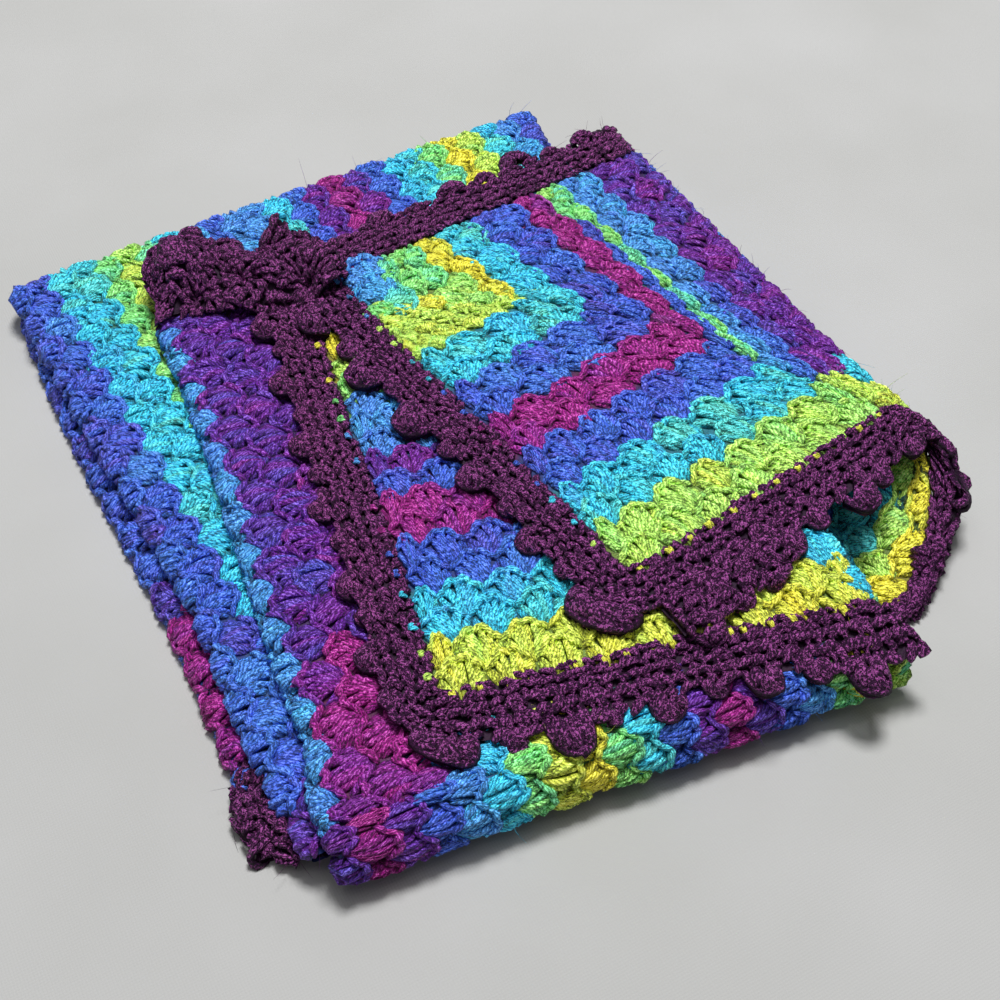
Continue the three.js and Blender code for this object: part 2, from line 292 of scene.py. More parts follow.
# How far in from its right edge each of the top layer's stripes begins, at the mitre and at
# the back, and how far in from its front edge. Each stripe is two rows of clusters.
MITRE_IN = np.array([0, 13.4, 30.5, 41.7, 56, 77.7, 100, 122, 145, 168, 190])
BACK_IN = np.array([0, 24, 42, 55, 69, 94, 114, 126, 140, 155, 172])
FRONT_IN = np.array([0, 27, 52.5, 77.5, 102, 127.5, 153])
ARM_DYES = [PURPLE, LIGHT_BLUE, GREEN, MAGENTA, PERIWINKLE, TURQUOISE, LIME, YELLOW, GREEN, LIGHT_BLUE]
FRONT_DYES = [LIME, TURQUOISE, PERIWINKLE, MAGENTA, PERIWINKLE, TURQUOISE, LIME]
CREASE_IN = 188.0  # from the front edge, where the front's stripes end


def dye_at(layer, across, deep):
    """The stripe colour of the ground at shares of a layer's width and depth."""
    width, depth = side_lengths(layer, np.clip(across, 0, 1), np.clip(deep, 0, 1))
    left, right, front = across * width, (1 - across) * width, deep * depth
    if layer == TOP:
        at_mitre = np.interp(front, FRONT_IN, MITRE_IN[: len(FRONT_IN)])
        from_front = stripes(front, *zip(FRONT_IN, FRONT_DYES))
        share = np.clip(deep, 0, 1)[..., None]
        begins = MITRE_IN * (1 - share) + BACK_IN * share
        row = np.clip((right[..., None] >= begins).sum(-1) - 1, 0, len(ARM_DYES) - 1)
        from_right = np.array(ARM_DYES)[row]
        in_front_arm = (right > at_mitre) & (front < CREASE_IN)
        return np.where(in_front_arm, from_front, from_right)
    if layer == FLAP:
        return stripes(
            front, (-99, LIME), (26, TURQUOISE), (52, PERIWINKLE), (76, MAGENTA), (100, PURPLE),
            (124, LIGHT_BLUE), (150, GREEN), (176, YELLOW), (200, GREEN),
        )
    if layer in ROLL_REACH:
        along_nose = stripes(
            left, (-99, MAGENTA), (16, PURPLE), (26, PERIWINKLE), (40, LIGHT_BLUE), (58, GREEN),
            (76, LIME), (90, GREEN), (112, PERIWINKLE), (134, PURPLE), (147, MAGENTA),
            (161, PERIWINKLE), (178, TURQUOISE), (191, LIME), (206, PURPLE),
        )
        beside = stripes(left, (-99, LIGHT_BLUE), (2, PURPLE))
        return np.where(front < 18, along_nose, np.where(front < 74, MAGENTA, beside))
    if layer in (SLAB, SLAB_TOP):
        return stripes(
            left, (-99, PERIWINKLE), (14, TURQUOISE), (35, GREEN), (46, LIME), (61, TURQUOISE),
            (79, LIGHT_BLUE), (99, PERIWINKLE), (113, LIGHT_BLUE), (128, TURQUOISE),
            (145, PERIWINKLE), (158, PURPLE), (167, MAGENTA), (186, PERIWINKLE), (201, TURQUOISE),
            (217, GREEN), (235, LIME), (253, GREEN), (261, TURQUOISE), (271, PERIWINKLE),
            (287, MAGENTA),
        )
    return stripes(
        left, (-99, PERIWINKLE), (12, PURPLE), (24, MAGENTA), (44, PERIWINKLE), (64, TURQUOISE),
        (90, GREEN), (120, TURQUOISE), (150, PERIWINKLE), (190, MAGENTA), (220, LIME),
    )


PRESSED = 0.25  # the least height of yarn that lies on the table, pressed flat


def mesh_piece(name, points, faces, corner_uvs, dyes, heights_for_shade, material):
    """A mesh object in metres from points in the plan's millimetres, and four-sided faces.

    Its last values say how far out of the fabric each point stands, from 0 deep in it to 1 on
    top; the yarn's materials turn that into painted shade, darker the deeper it is."""
    points = points.copy()
    points[:, 2] = np.maximum(points[:, 2], PRESSED)
    mesh = bpy.data.meshes.new(name)
    mesh.vertices.add(len(points))
    mesh.vertices.foreach_set("co", ((points + CENTRING) / 1000).astype(np.float32).ravel())
    mesh.loops.add(faces.size)
    mesh.loops.foreach_set("vertex_index", faces.astype(np.int32).ravel())
    mesh.polygons.add(len(faces))
    mesh.polygons.foreach_set("loop_start", np.arange(0, faces.size, 4, dtype=np.int32))
    mesh.update(calc_edges=True)
    mesh.polygons.foreach_set("use_smooth", np.ones(len(faces), dtype=bool))
    layer = mesh.uv_layers.new(name="yarn")
    layer.data.foreach_set("uv", corner_uvs.astype(np.float32).ravel())
    for kind, values in (("dye", dyes), ("open", heights_for_shade)):
        attribute = mesh.attributes.new(kind, "FLOAT", "POINT")
        attribute.data.foreach_set("value", np.broadcast_to(values, len(points)).astype(np.float32))
    mesh.materials.append(material)
    piece = bpy.data.objects.new(name, mesh)
    scene.collection.objects.link(piece)
    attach(piece, "root")
    return piece


def grid_sheet(grid):
    """A grid of points as a sheet: its points, its faces, and corner UVs seen from above."""
    rows, columns = grid.shape[:2]
    at = np.arange(rows * columns).reshape(rows, columns)
    faces = np.stack([at[:-1, :-1], at[:-1, 1:], at[1:, 1:], at[1:, :-1]], -1).reshape(-1, 4)
    points = grid.reshape(-1, 3)
    return points, faces, points[faces][..., :2]


class Gathered:
    """Copies of templates, gathered into the points, faces and corner UVs of one mesh, with
    any values that its points have."""

    def __init__(self):
        self.parts, self.count = [], 0

    def put(self, points, faces, uvs, *values):
        """points are given for each copy; the rest for each copy, or once for them all."""
        copies, size = points.shape[:2]
        first = self.count + np.arange(copies)[:, None, None] * size
        self.parts.append([
            points.reshape(-1, 3),
            (first + faces).reshape(-1, 4),
            np.broadcast_to(uvs, (copies, *uvs.shape[-3:])).reshape(-1, 4, 2),
            *(np.broadcast_to(value, (copies, size)).reshape(-1) for value in values),
        ])
        self.count += copies * size

    def all(self):
        return [np.concatenate(part) for part in zip(*self.parts)]


def twisted_plies(tree, fibres, pitch, stray, grooves, streaks):
    """How far the plies stand up, from 0 in the grooves between them to 1 on their crests, and
    the same with the fibres' streaks on it. Plies lie a pitch in millimetres apart along a
    strand and slant round it; the fibres make them stray."""
    way = add(tree, "ShaderNodeUVMap", uv_map="yarn")
    parts = add(tree, "ShaderNodeSeparateXYZ", {0: way.outputs[0]})
    along, around = parts.outputs[0], parts.outputs[1]
    slant = 6.0  # plies crossed on one way round a strand
    run = add(tree, "ShaderNodeMath", {0: along, 1: 1 / pitch}, operation="MULTIPLY").outputs[0]
    turn = add(tree, "ShaderNodeMath", {0: around, 1: slant, 2: run}, operation="MULTIPLY_ADD")
    wander = add(
        tree, "ShaderNodeMath", {0: fibres, 1: stray, 2: turn.outputs[0]}, operation="MULTIPLY_ADD"
    )
    sawtooth = add(tree, "ShaderNodeMath", {0: wander.outputs[0], 1: 0.5}, operation="PINGPONG")
    plies = add(
        tree,
        "ShaderNodeMapRange",
        {0: sawtooth.outputs[0], 1: grooves[0], 2: grooves[1], 3: 0.0, 4: 1.0},
        interpolation_type="SMOOTHSTEP",
    ).outputs[0]
    streaked = add(
        tree, "ShaderNodeMath", {0: fibres, 1: streaks, 2: plies}, operation="MULTIPLY_ADD"
    )
    return plies, streaked.outputs[0]


def painted_glints_and_shade(tree, place, shade, grain, painted_glint_range, depth_shade, *more):
    """Multiplies a shade by painted glinting spots along its plies, by any more tones given,
    and by painted shade that darkens it the deeper it lies in the fabric.
    """
    spots = add(
        tree,
        "ShaderNodeTexNoise",
        {"Vector": place, "Scale": grain, "Detail": 2.0, "Roughness": 0.6},
    )
    height_for_shade = add(tree, "ShaderNodeAttribute", attribute_name="open")
    # Painted highlights: glinting spots, brighter than the dye. Painted shade: darker the deeper a point
    # lies in the fabric.
    painted_glints = {0: spots.outputs[0], 1: painted_glint_range[0], 2: painted_glint_range[1], 3: 0.5, 4: painted_glint_range[2]}
    down = {0: height_for_shade.outputs["Fac"], 3: depth_shade[0], 4: depth_shade[1]}
    for tones in (painted_glints, *more, down):
        part = add(tree, "ShaderNodeMapRange", tones).outputs[0]
        shade = add(tree, "ShaderNodeMath", {0: shade, 1: part}, operation="MULTIPLY").outputs[0]
    return shade


def striped_acrylic(name, plied):
    # Worsted acrylic, spun, plied and dyed in a long run of colours. On the plied yarn a
    # painted highlight lies along the plies and painted shade between them. Four plies, so one
    # crosses each 1.1 mm of strand (drawn at 2.3 so that they show). Little light gets down into
    # the fabric, so it is painted darker there, and painted glinting spots lie along the plies.
    # The ground, which is only seen deep in the fabric, is drawn without plies.
    material, tree, shader = new_material(name)
    dye = add(tree, "ShaderNodeAttribute", attribute_name="dye")
    ramp = add(tree, "ShaderNodeValToRGB", {0: dye.outputs["Fac"]})
    colour_steps(ramp, [(k / (len(DYES) - 1), colour) for k, colour in enumerate(DYES)])
    colour = ramp.outputs[0]
    place = add(tree, "ShaderNodeTexCoord").outputs["Object"]
    height = add(
        tree,
        "ShaderNodeTexNoise",
        {"Vector": place, "Scale": 850.0, "Detail": 3.0, "Roughness": 0.75},
    ).outputs[0]
    # The ground is painted dark, a tenth to a third of its dye, as the shade deep between the stitches.
    lowest, highest = (0.65, 1.4) if plied else (0.1, 0.35)
    tones = {0: height, 1: 0.3, 2: 0.7, 3: lowest, 4: highest}
    shade = add(tree, "ShaderNodeMapRange", tones).outputs[0]
    if plied:
        plies, height = twisted_plies(tree, height, 2.3, 2.6, (0.04, 0.46), 0.8)
        # Painted shade in the grooves between the plies, and a painted highlight on their crests.
        grooves = {0: plies, 3: 0.36, 4: 1.46}
        shade = painted_glints_and_shade(tree, place, shade, 520.0, (0.36, 0.66, 1.9), (0.1, 1.28), grooves)
    toned = add(tree, "ShaderNodeVectorMath", {0: colour, "Scale": shade}, operation="SCALE")
    colour = toned.outputs[0]
    if plied:
        # Painted highlight: the crests of the plies are mixed towards a pale tint.
        crest_highlight = add(tree, "ShaderNodeMapRange", {0: shade, 1: 1.5, 2: 3.4, 3: 0.0, 4: 0.24})
        painted_shine = linear("#eef2ff")
        highlighted_colour = add(
            tree, "ShaderNodeMix", {0: crest_highlight.outputs[0], 6: colour, 7: painted_shine}, data_type="RGBA"
        )
        colour = highlighted_colour.outputs[2]
    bump = add(tree, "ShaderNodeBump", {"Height": height, "Strength": 0.9, "Distance": 0.0007})
    plug(tree, shader, {"Base Color": colour, "Normal": bump.outputs[0], "Roughness": 0.5})
    plug(tree, shader, {"IOR": 1.49, "Sheen Weight": 0.03, "Sheen Roughness": 0.4})
    return material


def half_turn(low, high, outward, bulge, steps):
    """Points on the open half turn between two edges, without the edges themselves."""
    turn = (np.arange(1, steps) / steps * np.pi)[:, None, None]
    bulge = np.broadcast_to(bulge, len(low))[:, None]
    return low + (high - low) * (1 - np.cos(turn)) / 2 + outward * bulge * np.sin(turn)


NOSE_ROWS = 8  # of points over the roll's nose
BEHIND_FLAP = 5  # rows that the flap's fold starts behind the front
FOLD_STEPS, WRAP_STEPS = 6, 14
WRAP_DEEP = 220  # which its stripes are counted over


def make_ground():
    """The eight layers and the folds between them, as one striped sheet."""
    across = np.linspace(0, 1, 33)
    deep = np.linspace(0, 1, 53)
    roll = -np.linspace(1, 0, NOSE_ROWS + 1)[:-1] * ROLL_ARC
    sheets, edges = Gathered(), {}

    def take(grid, dye):
        """Adds a grid of points to the sheet."""
        points, faces, uvs = grid_sheet(grid)
        sheets.put(points[None], faces, uvs, np.broadcast_to(dye, grid.shape[:2]).reshape(1, -1))

    for layer in range(len(LAYERS)):
        rows = deep
        if layer in ROLL_REACH:
            rows = np.concatenate([roll / side_lengths(layer, 0.5, 0.5)[1], deep])
        b, a = np.meshgrid(rows, across, indexing="ij")
        grid = lay(layer, a, b)
        edges[layer] = grid
        take(grid, dye_at(layer, a, b))
    x, y, z = np.eye(3)
    roll_right = edges[ROLL_OUT][NOSE_ROWS + BEHIND_FLAP :, -1]
    folds = [
        (edges[COVER][:, -1], edges[SLAB][:, -1], x, FOLD_REACH),
        (edges[SLAB_TOP][:, -1], edges[ROLL_IN][NOSE_ROWS:, -1], x, FOLD_REACH),
        (roll_right, edges[FLAP][BEHIND_FLAP:, -1], x, FOLD_REACH),
        (edges[BASE][:, -1], edges[TOP][:, -1], x, wrap_bulge(deep)),
        (edges[BASE][:, 0], edges[COVER][:, 0], -x, FOLD_REACH),
        (edges[SLAB][:, 0], edges[SLAB_TOP][:, 0], -x, FOLD_REACH),
        (edges[SLAB][-1], edges[SLAB_TOP][-1], y, FOLD_REACH),
        (edges[ROLL_IN][:, 0], edges[ROLL_OUT][:, 0], -x, FOLD_REACH),
        (edges[ROLL_IN][0], edges[ROLL_OUT][0], -z, 2.4),
    ]
    for low, high, outward, bulge in folds:
        is_wrap = np.ndim(bulge) > 0
        mids = half_turn(low, high, outward, bulge, WRAP_STEPS if is_wrap else FOLD_STEPS)
        rings = np.concatenate([low[None], mids, high[None]])
        if is_wrap:
            # The wrap shows inside its mouth, striped along its front edge.
            at = deep * WRAP_DEEP
            down = stripes(at, (-99, YELLOW), (6, LIME), (20, TURQUOISE), (44, PERIWINKLE))
        else:
            down = np.full(len(low), PERIWINKLE)
        take(rings, down[None])
    ground_yarn = striped_acrylic("striped_ground_painted_shade", plied=False)
    piece = mesh_piece("ground_cloth", *sheets.all(), 0.0, ground_yarn)
    # The folds share their edges with the layers, so that it is one cloth.
    cloth = bmesh.new()
    cloth.from_mesh(piece.data)
    bmesh.ops.remove_doubles(cloth, verts=cloth.verts, dist=0.00002)
    cloth.to_mesh(piece.data)
    cloth.free()
    return piece


ground = make_ground()
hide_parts("striped_body")


# ---------------------------------------------------------------- the top layer's stitches
# Clusters of worsted acrylic: three double crochets worked into one gap, 20 mm across and
# 13 mm high. The top layer's rows turn a corner, along its front and up its right side, and
# meet in a mitre from the front right corner.

CLUSTER_ACROSS = 20.0
CLUSTER_HIGH = 13.0
CLUSTER_THICK = 3.6
SUNK = 0.9  # how much of that is below the face of the cloth
YARN = 1.42  # radius of the pulled yarn
chance = np.random.default_rng(11)  # the unevenness of handwork, the same each time


def strand(x, y, z, radius, sides=5):
    """A strand of yarn along a path: its points, its faces, and corner UVs that give the
    millimetres along it and the share of the way round it."""
    path = np.stack([x, y, z], -1)
    rings = len(path)
    along = unit(np.gradient(path, axis=0))
    beside = unit(np.cross(along, [0.0, 0.0, 1.0]))
    above = np.cross(beside, along)
    angle = np.arange(sides) / sides * 2 * np.pi
    radius = np.broadcast_to(radius, (rings,))
    turn = angle[None, :, None]
    spokes = beside[:, None] * np.cos(turn) + above[:, None] * np.sin(turn)
    points = path[:, None] + spokes * radius[:, None, None]
    step = np.linalg.norm(np.diff(path, axis=0), axis=1)
    length = np.concatenate([[0], np.cumsum(step)])
    ring, side = np.meshgrid(np.arange(rings - 1), np.arange(sides), indexing="ij")
    beyond = (side + 1) % sides
    here, ahead = ring * sides, (ring + 1) * sides
    faces = np.stack([here + side, here + beyond, ahead + beyond, ahead + side], -1)
    u0, u1 = length[ring], length[ring + 1]
    v0, v1 = side / sides, (side + 1) / sides
    uvs = np.stack([u0, v0, u0, v1, u1, v1, u1, v0], -1)
    return points.reshape(-1, 3), faces.reshape(-1, 4), uvs.reshape(-1, 4, 2)


def bundle(strands):
    """Several strands as one template: points, faces, corner UVs, and each point's strand."""
    template = Gathered()
    for k, (p, f, uv) in enumerate(strands):
        template.put(p[None], f, uv + [chance.uniform(0, 9), chance.uniform(0, 1)], k)
    return template.all()


def cluster_template(legs=8, loops=6):
    """One cluster, in millimetres: x along its row, y up from the gap, z off the cloth."""
    strands = []
    t = np.linspace(0, 1, 6)
    for k in range(legs):
        lean = (k - (legs - 1) / 2) / (legs - 1) * 8 + chance.normal(0, 0.25)
        foot, top = 0.75 * lean, 2.25 * lean
        bow, wave = chance.normal(0, 0.6), chance.uniform(0, 6)
        x = foot + (top - foot) * t**0.9 + 0.4 * np.sin(t * 6 + wave) + bow * np.sin(np.pi * t)
        high = 12.4 - 0.068 * top**2 + chance.normal(0, 0.5)
        y = -5.6 + 0.5 * abs(lean) + (high + 5.6 - 0.5 * abs(lean)) * t
        z = -1.1 + 3.1 * np.sin(np.pi * (0.08 + 0.74 * t)) - 0.02 * top**2 * t
        z = z + chance.normal(0, 0.3) + (0.35 if k % 2 else -0.15) * np.sin(np.pi * t)
        radius = YARN * 8 / legs * np.array([0.75, 1.1, 1.2, 1.2, 1.08, 0.8])
        strands.append(strand(x, y, z, radius))
    # The chain along the top: short slanting loops, each lying over the next.
    for k in range(loops):
        middle = (k - (loops - 1) / 2) * 18.6 / loops + chance.normal(0, 0.3)
        t = np.linspace(-1, 1, 5)
        x = middle + 16.8 / loops * t
        rise = 2.0 + chance.normal(0, 0.5)
        y = 12.6 - 0.07 * x**2 + rise * t * (1 if k % 2 else -1) * 0.8
        z = 1.1 - 0.016 * x**2 + 1.2 * np.cos(1.5 * t) + (0.4 if k % 2 else -0.1)
        radius = YARN * np.array([0.65, 1.08, 1.15, 1.08, 0.65])
        strands.append(strand(x, y, z, radius))
    # The gap beside it, closed by the chain of the row before.
    t = np.linspace(-1, 1, 4)
    for side in (-1, 1):
        x = side * (7.6 + 1.4 * t) + chance.normal(0, 0.3)
        y = 1.4 + 3.6 * t + chance.normal(0, 0.4)
        z = -0.4 + 0.7 * np.cos(1.6 * t)
        strands.append(strand(x, y, z, YARN * np.array([0.8, 1.15, 1.15, 0.8])))
    return bundle(strands)


CLUSTERS = [cluster_template() for _ in range(6)]
FLAT_CLUSTERS = [cluster_template(legs=5, loops=3) for _ in range(4)]


def row_of(low, high, count, offset, dye, puff=1.0):
    """A row's clusters. low and high are the row's two long sides, each as its start and end
    in shares of the layer. dye is one dye, or gives the dye at a share along the row. An
    offset row starts and ends with half a cluster. puff is how far its clusters stand up."""
    low, high = np.array(low, float), np.array(high, float)
    centres = (np.arange(count) + 0.5) / count
    spans = np.full(count, 1 / count)
    if offset:
        centres = np.concatenate([[0.25 / count], np.arange(1, count) / count, [1 - 0.25 / count]])
        spans = np.concatenate([[0.5 / count], np.full(count - 1, 1 / count), [0.5 / count]])
    return [
        {
            "low": low,
            "high": high,
            "centre": centre,
            "span": span,
            "dye": dye(centre) if callable(dye) else dye,
            "puff": puff,
        }
        for centre, span in zip(centres, spans)
    ]


def lay_clusters(name, layer, rows, templates=CLUSTERS, inside=False):
    """Every cluster of the rows as one piece, laid on a layer of the cloth or on its inside."""
    clusters = Gathered()
    kind = chance.integers(0, len(templates), len(rows))
    for k, (p, f, uv, owner) in enumerate(templates):
        mine = [row for row, which in zip(rows, kind) if which == k]
        if not mine:
            continue
        n = len(mine)
        low, high, centre, span, dye, puff = (
            np.array([row[part] for row in mine])[:, None]
            for part in ("low", "high", "centre", "span", "dye", "puff")
        )
        # Handwork is uneven: clusters differ a little in width, height, place, puff and shade.
        mirror = np.where(chance.random(n) < 0.5, -1.0, 1.0)[:, None]
        jitter = chance.normal(0, 1, (n, 3))
        x = p[None, :, 0] / CLUSTER_ACROSS * mirror * (1 + 0.05 * jitter[:, :1])
        y = p[None, :, 1] / CLUSTER_HIGH * (1 + 0.04 * jitter[:, 1:2]) + 0.03 * jitter[:, 2:3]
        s = (centre + x * span)[..., None]
        from_low = low[..., 0, :] * (1 - s) + low[..., 1, :] * s
        from_high = high[..., 0, :] * (1 - s) + high[..., 1, :] * s
        at = from_low + (from_high - from_low) * y[..., None]
        face = -1.0 if inside else 1.0
        height = p[None, :, 2] * puff * (1 + 0.08 * jitter[:, 1:2]) * face
        placed = lay_with_height(layer, at[..., 0], at[..., 1], height)
        shade = chance.normal(0, 0.018, (n, owner.max() + 1))
        dye = dye + chance.normal(0, 0.022, (n, 1)) + shade[:, owner]
        upright = mirror[:, :, None] * face > 0
        wound = np.where(upright, f, f[:, ::-1])
        uvs = np.where(upright[..., None], uv, uv[:, ::-1])
        # How far out of the fabric each point lies, which the material paints as shade, darker deep
        # down.
        heights_for_shade = np.clip((p[:, 2] + SUNK) / CLUSTER_THICK, 0, 1)
        clusters.put(placed, wound, uvs, np.clip(dye, 0, 1), heights_for_shade)
    piece = mesh_piece(name, *clusters.all(), yarn)
    return piece


yarn = striped_acrylic("striped_acrylic_worsted", plied=True)


def spot(layer, inset, front, side="left"):
    """Shares of a layer at a distance in from its left or right side and from its front."""
    width, depth = side_lengths(layer, 0.5, 0.5)
    for _ in range(3):
        across = inset / width if side == "left" else 1 - inset / width
        depth = side_lengths(layer, across, 0)[1]
        width = side_lengths(layer, 0, front / depth)[0]
    return [across, front / depth]


def row_across(layer, ends, edges, *laid, side="left", **more):
    """A row from side to side. Its ends are distances from a side, and its two edges from the
    front: the one it is worked into, and the one its arches face."""
    low, high = ([spot(layer, end, edge, side) for end in ends] for edge in edges)
    return row_of(low, high, *laid, **more)


def row_back(layer, edges, ends, *laid, side="left", **more):
    """A row from front to back: its edges are distances from a side, its ends from the front."""
    low, high = ([spot(layer, edge, end, side) for end in ends] for edge in edges)
    return row_of(low, high, *laid, **more)


def row_edges(k, begins):
    """Where a row begins and ends, from where each stripe of two rows begins."""
    return np.interp([k, k + 1], np.arange(0, 2 * len(begins), 2), begins)


def cluster_count(length, across=CLUSTER_ACROSS, least=1):
    return max(least, round(length / across))


def crease_from_front(from_right):
    """The soft crease across the top layer, which runs in from its left side to the mitre."""
    return np.interp(from_right, [88, 165], [132, 196])


FRONT_ROWS, ARM_ROWS = 12, 18
TOP_FRONT_WIDE, TOP_BACK_WIDE = 150, 169
LEAST_ROW = 12  # the shortest row that is made
top_rows = []
# The rows along the front, from the left edge to the mitre.
for k in range(FRONT_ROWS):
    edges, ends = row_edges(k, FRONT_IN), row_edges(k, MITRE_IN)
    low, high = (
        [spot(TOP, 2, edge), spot(TOP, end, edge, "right")] for edge, end in zip(edges, ends)
    )
    count = cluster_count(TOP_FRONT_WIDE - sum(ends) / 2, least=2)
    top_rows += row_of(low, high, count, k % 2, LIME - 0.03 if k < 2 else FRONT_DYES[k // 2])

# The rows up the right side, from the mitre or the crease to the back.
for k in range(ARM_ROWS):
    at_front, at_mitre, at_back = (row_edges(k, begins) for begins in (FRONT_IN, MITRE_IN, BACK_IN))
    crease = crease_from_front(at_back)
    starts = [at_front[e] if k + e < FRONT_ROWS else crease[e] for e in (0, 1)]
    back = side_lengths(TOP, 1 - at_back[0] / TOP_BACK_WIDE, 0)[1] - 1
    # These rows' arches face the right edge.
    high, low = (
        [spot(TOP, mitre, start, "right"), spot(TOP, end, back, "right")]
        for mitre, start, end in zip(at_mitre, starts, at_back)
    )
    length = back - sum(starts) / 2
    if length < LEAST_ROW:
        continue

    def arm_dye(share):
        """The stripe's dye, which changes along some of the rows."""
        if k < 2 and share < 0.1:
            return LIME
        if (k == 2 and share < 0.4) or (k == 5 and share < 0.75):
            return PERIWINKLE
        if k in (12, 13, 14):
            return YELLOW if chance.random() < 0.12 else LIME - 0.04
        return ARM_DYES[k // 2]

    top_rows += row_of(low, high, cluster_count(length), k % 2, arm_dye)

# The smooth patch in front of the crease: the cloth is stretched flat there, and its close
# small stitches run straight across.
PATCH_FRONT, PATCH_ROW, PATCH_STITCH = 153, 6.0, 9
PATCH_WIDE, PATCH_RIGHT = 160, 88  # the layer's width there, and where its first row ends
PATCH_SLANT = 1.6  # how much sooner a row ends for each millimetre that it is further back
patch_rows = []
for k in range(7):
    edges = [PATCH_FRONT + PATCH_ROW * k, PATCH_FRONT + PATCH_ROW * (k + 1)]
    ends = [PATCH_RIGHT + (edge - PATCH_FRONT) * PATCH_SLANT for edge in edges]
    low, high = (
        [spot(TOP, 1, edge), spot(TOP, end, edge, "right")] for edge, end in zip(edges, ends)
    )
    length = PATCH_WIDE - sum(ends) / 2
    if length > PATCH_STITCH - 1:
        count = cluster_count(length, PATCH_STITCH)
        patch_rows += row_of(low, high, count, k % 2, LIME + 0.02, puff=0.6)

# Towards its back left corner, past these shares of the layer's width and depth, the rows run
# on into yellow and green, and the corner is light blue.
kept_rows = []
for row in top_rows:
    start, end = (row["low"] + row["high"]) / 2
    across, deep = start + (end - start) * row["centre"]
    if across < 0.34 and deep > 0.83:
        row["dye"] = GREEN if across < 0.26 else YELLOW
    if across > 0.13 or deep < 0.88:
        kept_rows.append(row)
for near, far in ((199, 212), (211, 224)):
    kept_rows += row_across(TOP, (0, 25), (near, far), 1, 0, LIGHT_BLUE, puff=1.4)

top_stitches = lay_clusters("top_clusters", TOP, kept_rows)
patch_stitches = lay_clusters("top_smooth_patch", TOP, patch_rows, FLAT_CLUSTERS)


# ---------------------------------------------------------------- the flap's stitches
# The layer under the top one, out to its left: the same clusters of worsted acrylic. Its rows
# are worked along its front edge, two to a colour.

FLAP_ROW = 12.9
FLAP_ACROSS = 9  # clusters in a whole row
# Each row's dye, and how many of its clusters are seen past the top layer's edge.
FLAP_SEEN = [
    ((LIME + YELLOW) / 2, 9), ((LIME + YELLOW) / 2, 9), (TURQUOISE, 9), (TURQUOISE, 6), (PERIWINKLE, 5),
    (PERIWINKLE, 5), (MAGENTA, 4), (MAGENTA, 4), (PERIWINKLE, 4), (PURPLE, 4), (LIGHT_BLUE, 4),
    (LIGHT_BLUE, 4), (LIGHT_BLUE, 4), (GREEN, 3), (LIME, 3), (YELLOW, 3), (GREEN, 3),
]
flap_rows = []
for k, (dye, seen) in enumerate(FLAP_SEEN):
    edges = (FLAP_ROW * k, FLAP_ROW * (k + 1))
    whole = row_across(FLAP, (1, 178), edges, FLAP_ACROSS, k % 2, dye)
    flap_rows += whole[: seen + k % 2]
flap_stitches = lay_clusters("flap_clusters", FLAP, flap_rows)


# ---------------------------------------------------------------- the roll's stitches
# Two layers of the cloth turned under in front as a soft roll, in the same clusters. The rows
# run front to back: a light blue one and purple puffs along the left side, and over the nose
# a new colour every row or two.

roll_rows = []
roll_long = side_lengths(ROLL_OUT, 0, 0)[1]
for k, (near, far) in enumerate([(-8, 2), (1, 14), (14, 27), (27, 40)]):

    def puff_dye(share):
        """Light blue, then purple rows whose front ends are magenta."""
        if k and share < 0.28:
            return MAGENTA if k > 1 else (PURPLE + MAGENTA) / 2
        return PURPLE if k else LIGHT_BLUE

    roll_rows += row_back(ROLL_OUT, (far, near), (0, roll_long), 14, k % 2, puff_dye, puff=1.25)
# How far from the left each of the nose's rows begins, and its dye.
NOSE_BANDS = [
    (-6, PURPLE), (6, MAGENTA), (18, PURPLE), (29, PERIWINKLE), (41, LIGHT_BLUE), (53, TURQUOISE),
    (64, GREEN), (76, (LIME + YELLOW) / 2), (88, YELLOW), (99, GREEN), (110, TURQUOISE),
    (122, PERIWINKLE), (134, PURPLE), (145, MAGENTA), (157, PURPLE), (168, PERIWINKLE),
    (180, LIGHT_BLUE), (192, GREEN), (203, YELLOW), (214, LIME), (225, GREEN),
]
for k, (left, dye) in enumerate(NOSE_BANDS):
    # Beside the puffs the nose's rows stop short of them.
    back, count = (22, 3) if left > 40 else (2, 2)
    edges, ends = (left, left + 12), (-ROLL_ARC - 2, back)
    roll_rows += row_back(ROLL_OUT, edges, ends, count, k % 2, dye, puff=1.15)
roll_stitches = lay_clusters("roll_clusters", ROLL_OUT, roll_rows)


# ---------------------------------------------------------------- the slab's stitches
# Two layers folded together under the roll, in the same clusters. Their rows run front to
# back, and they show along the left side and past the roll's back edge.

SLAB_ROW = 11.6
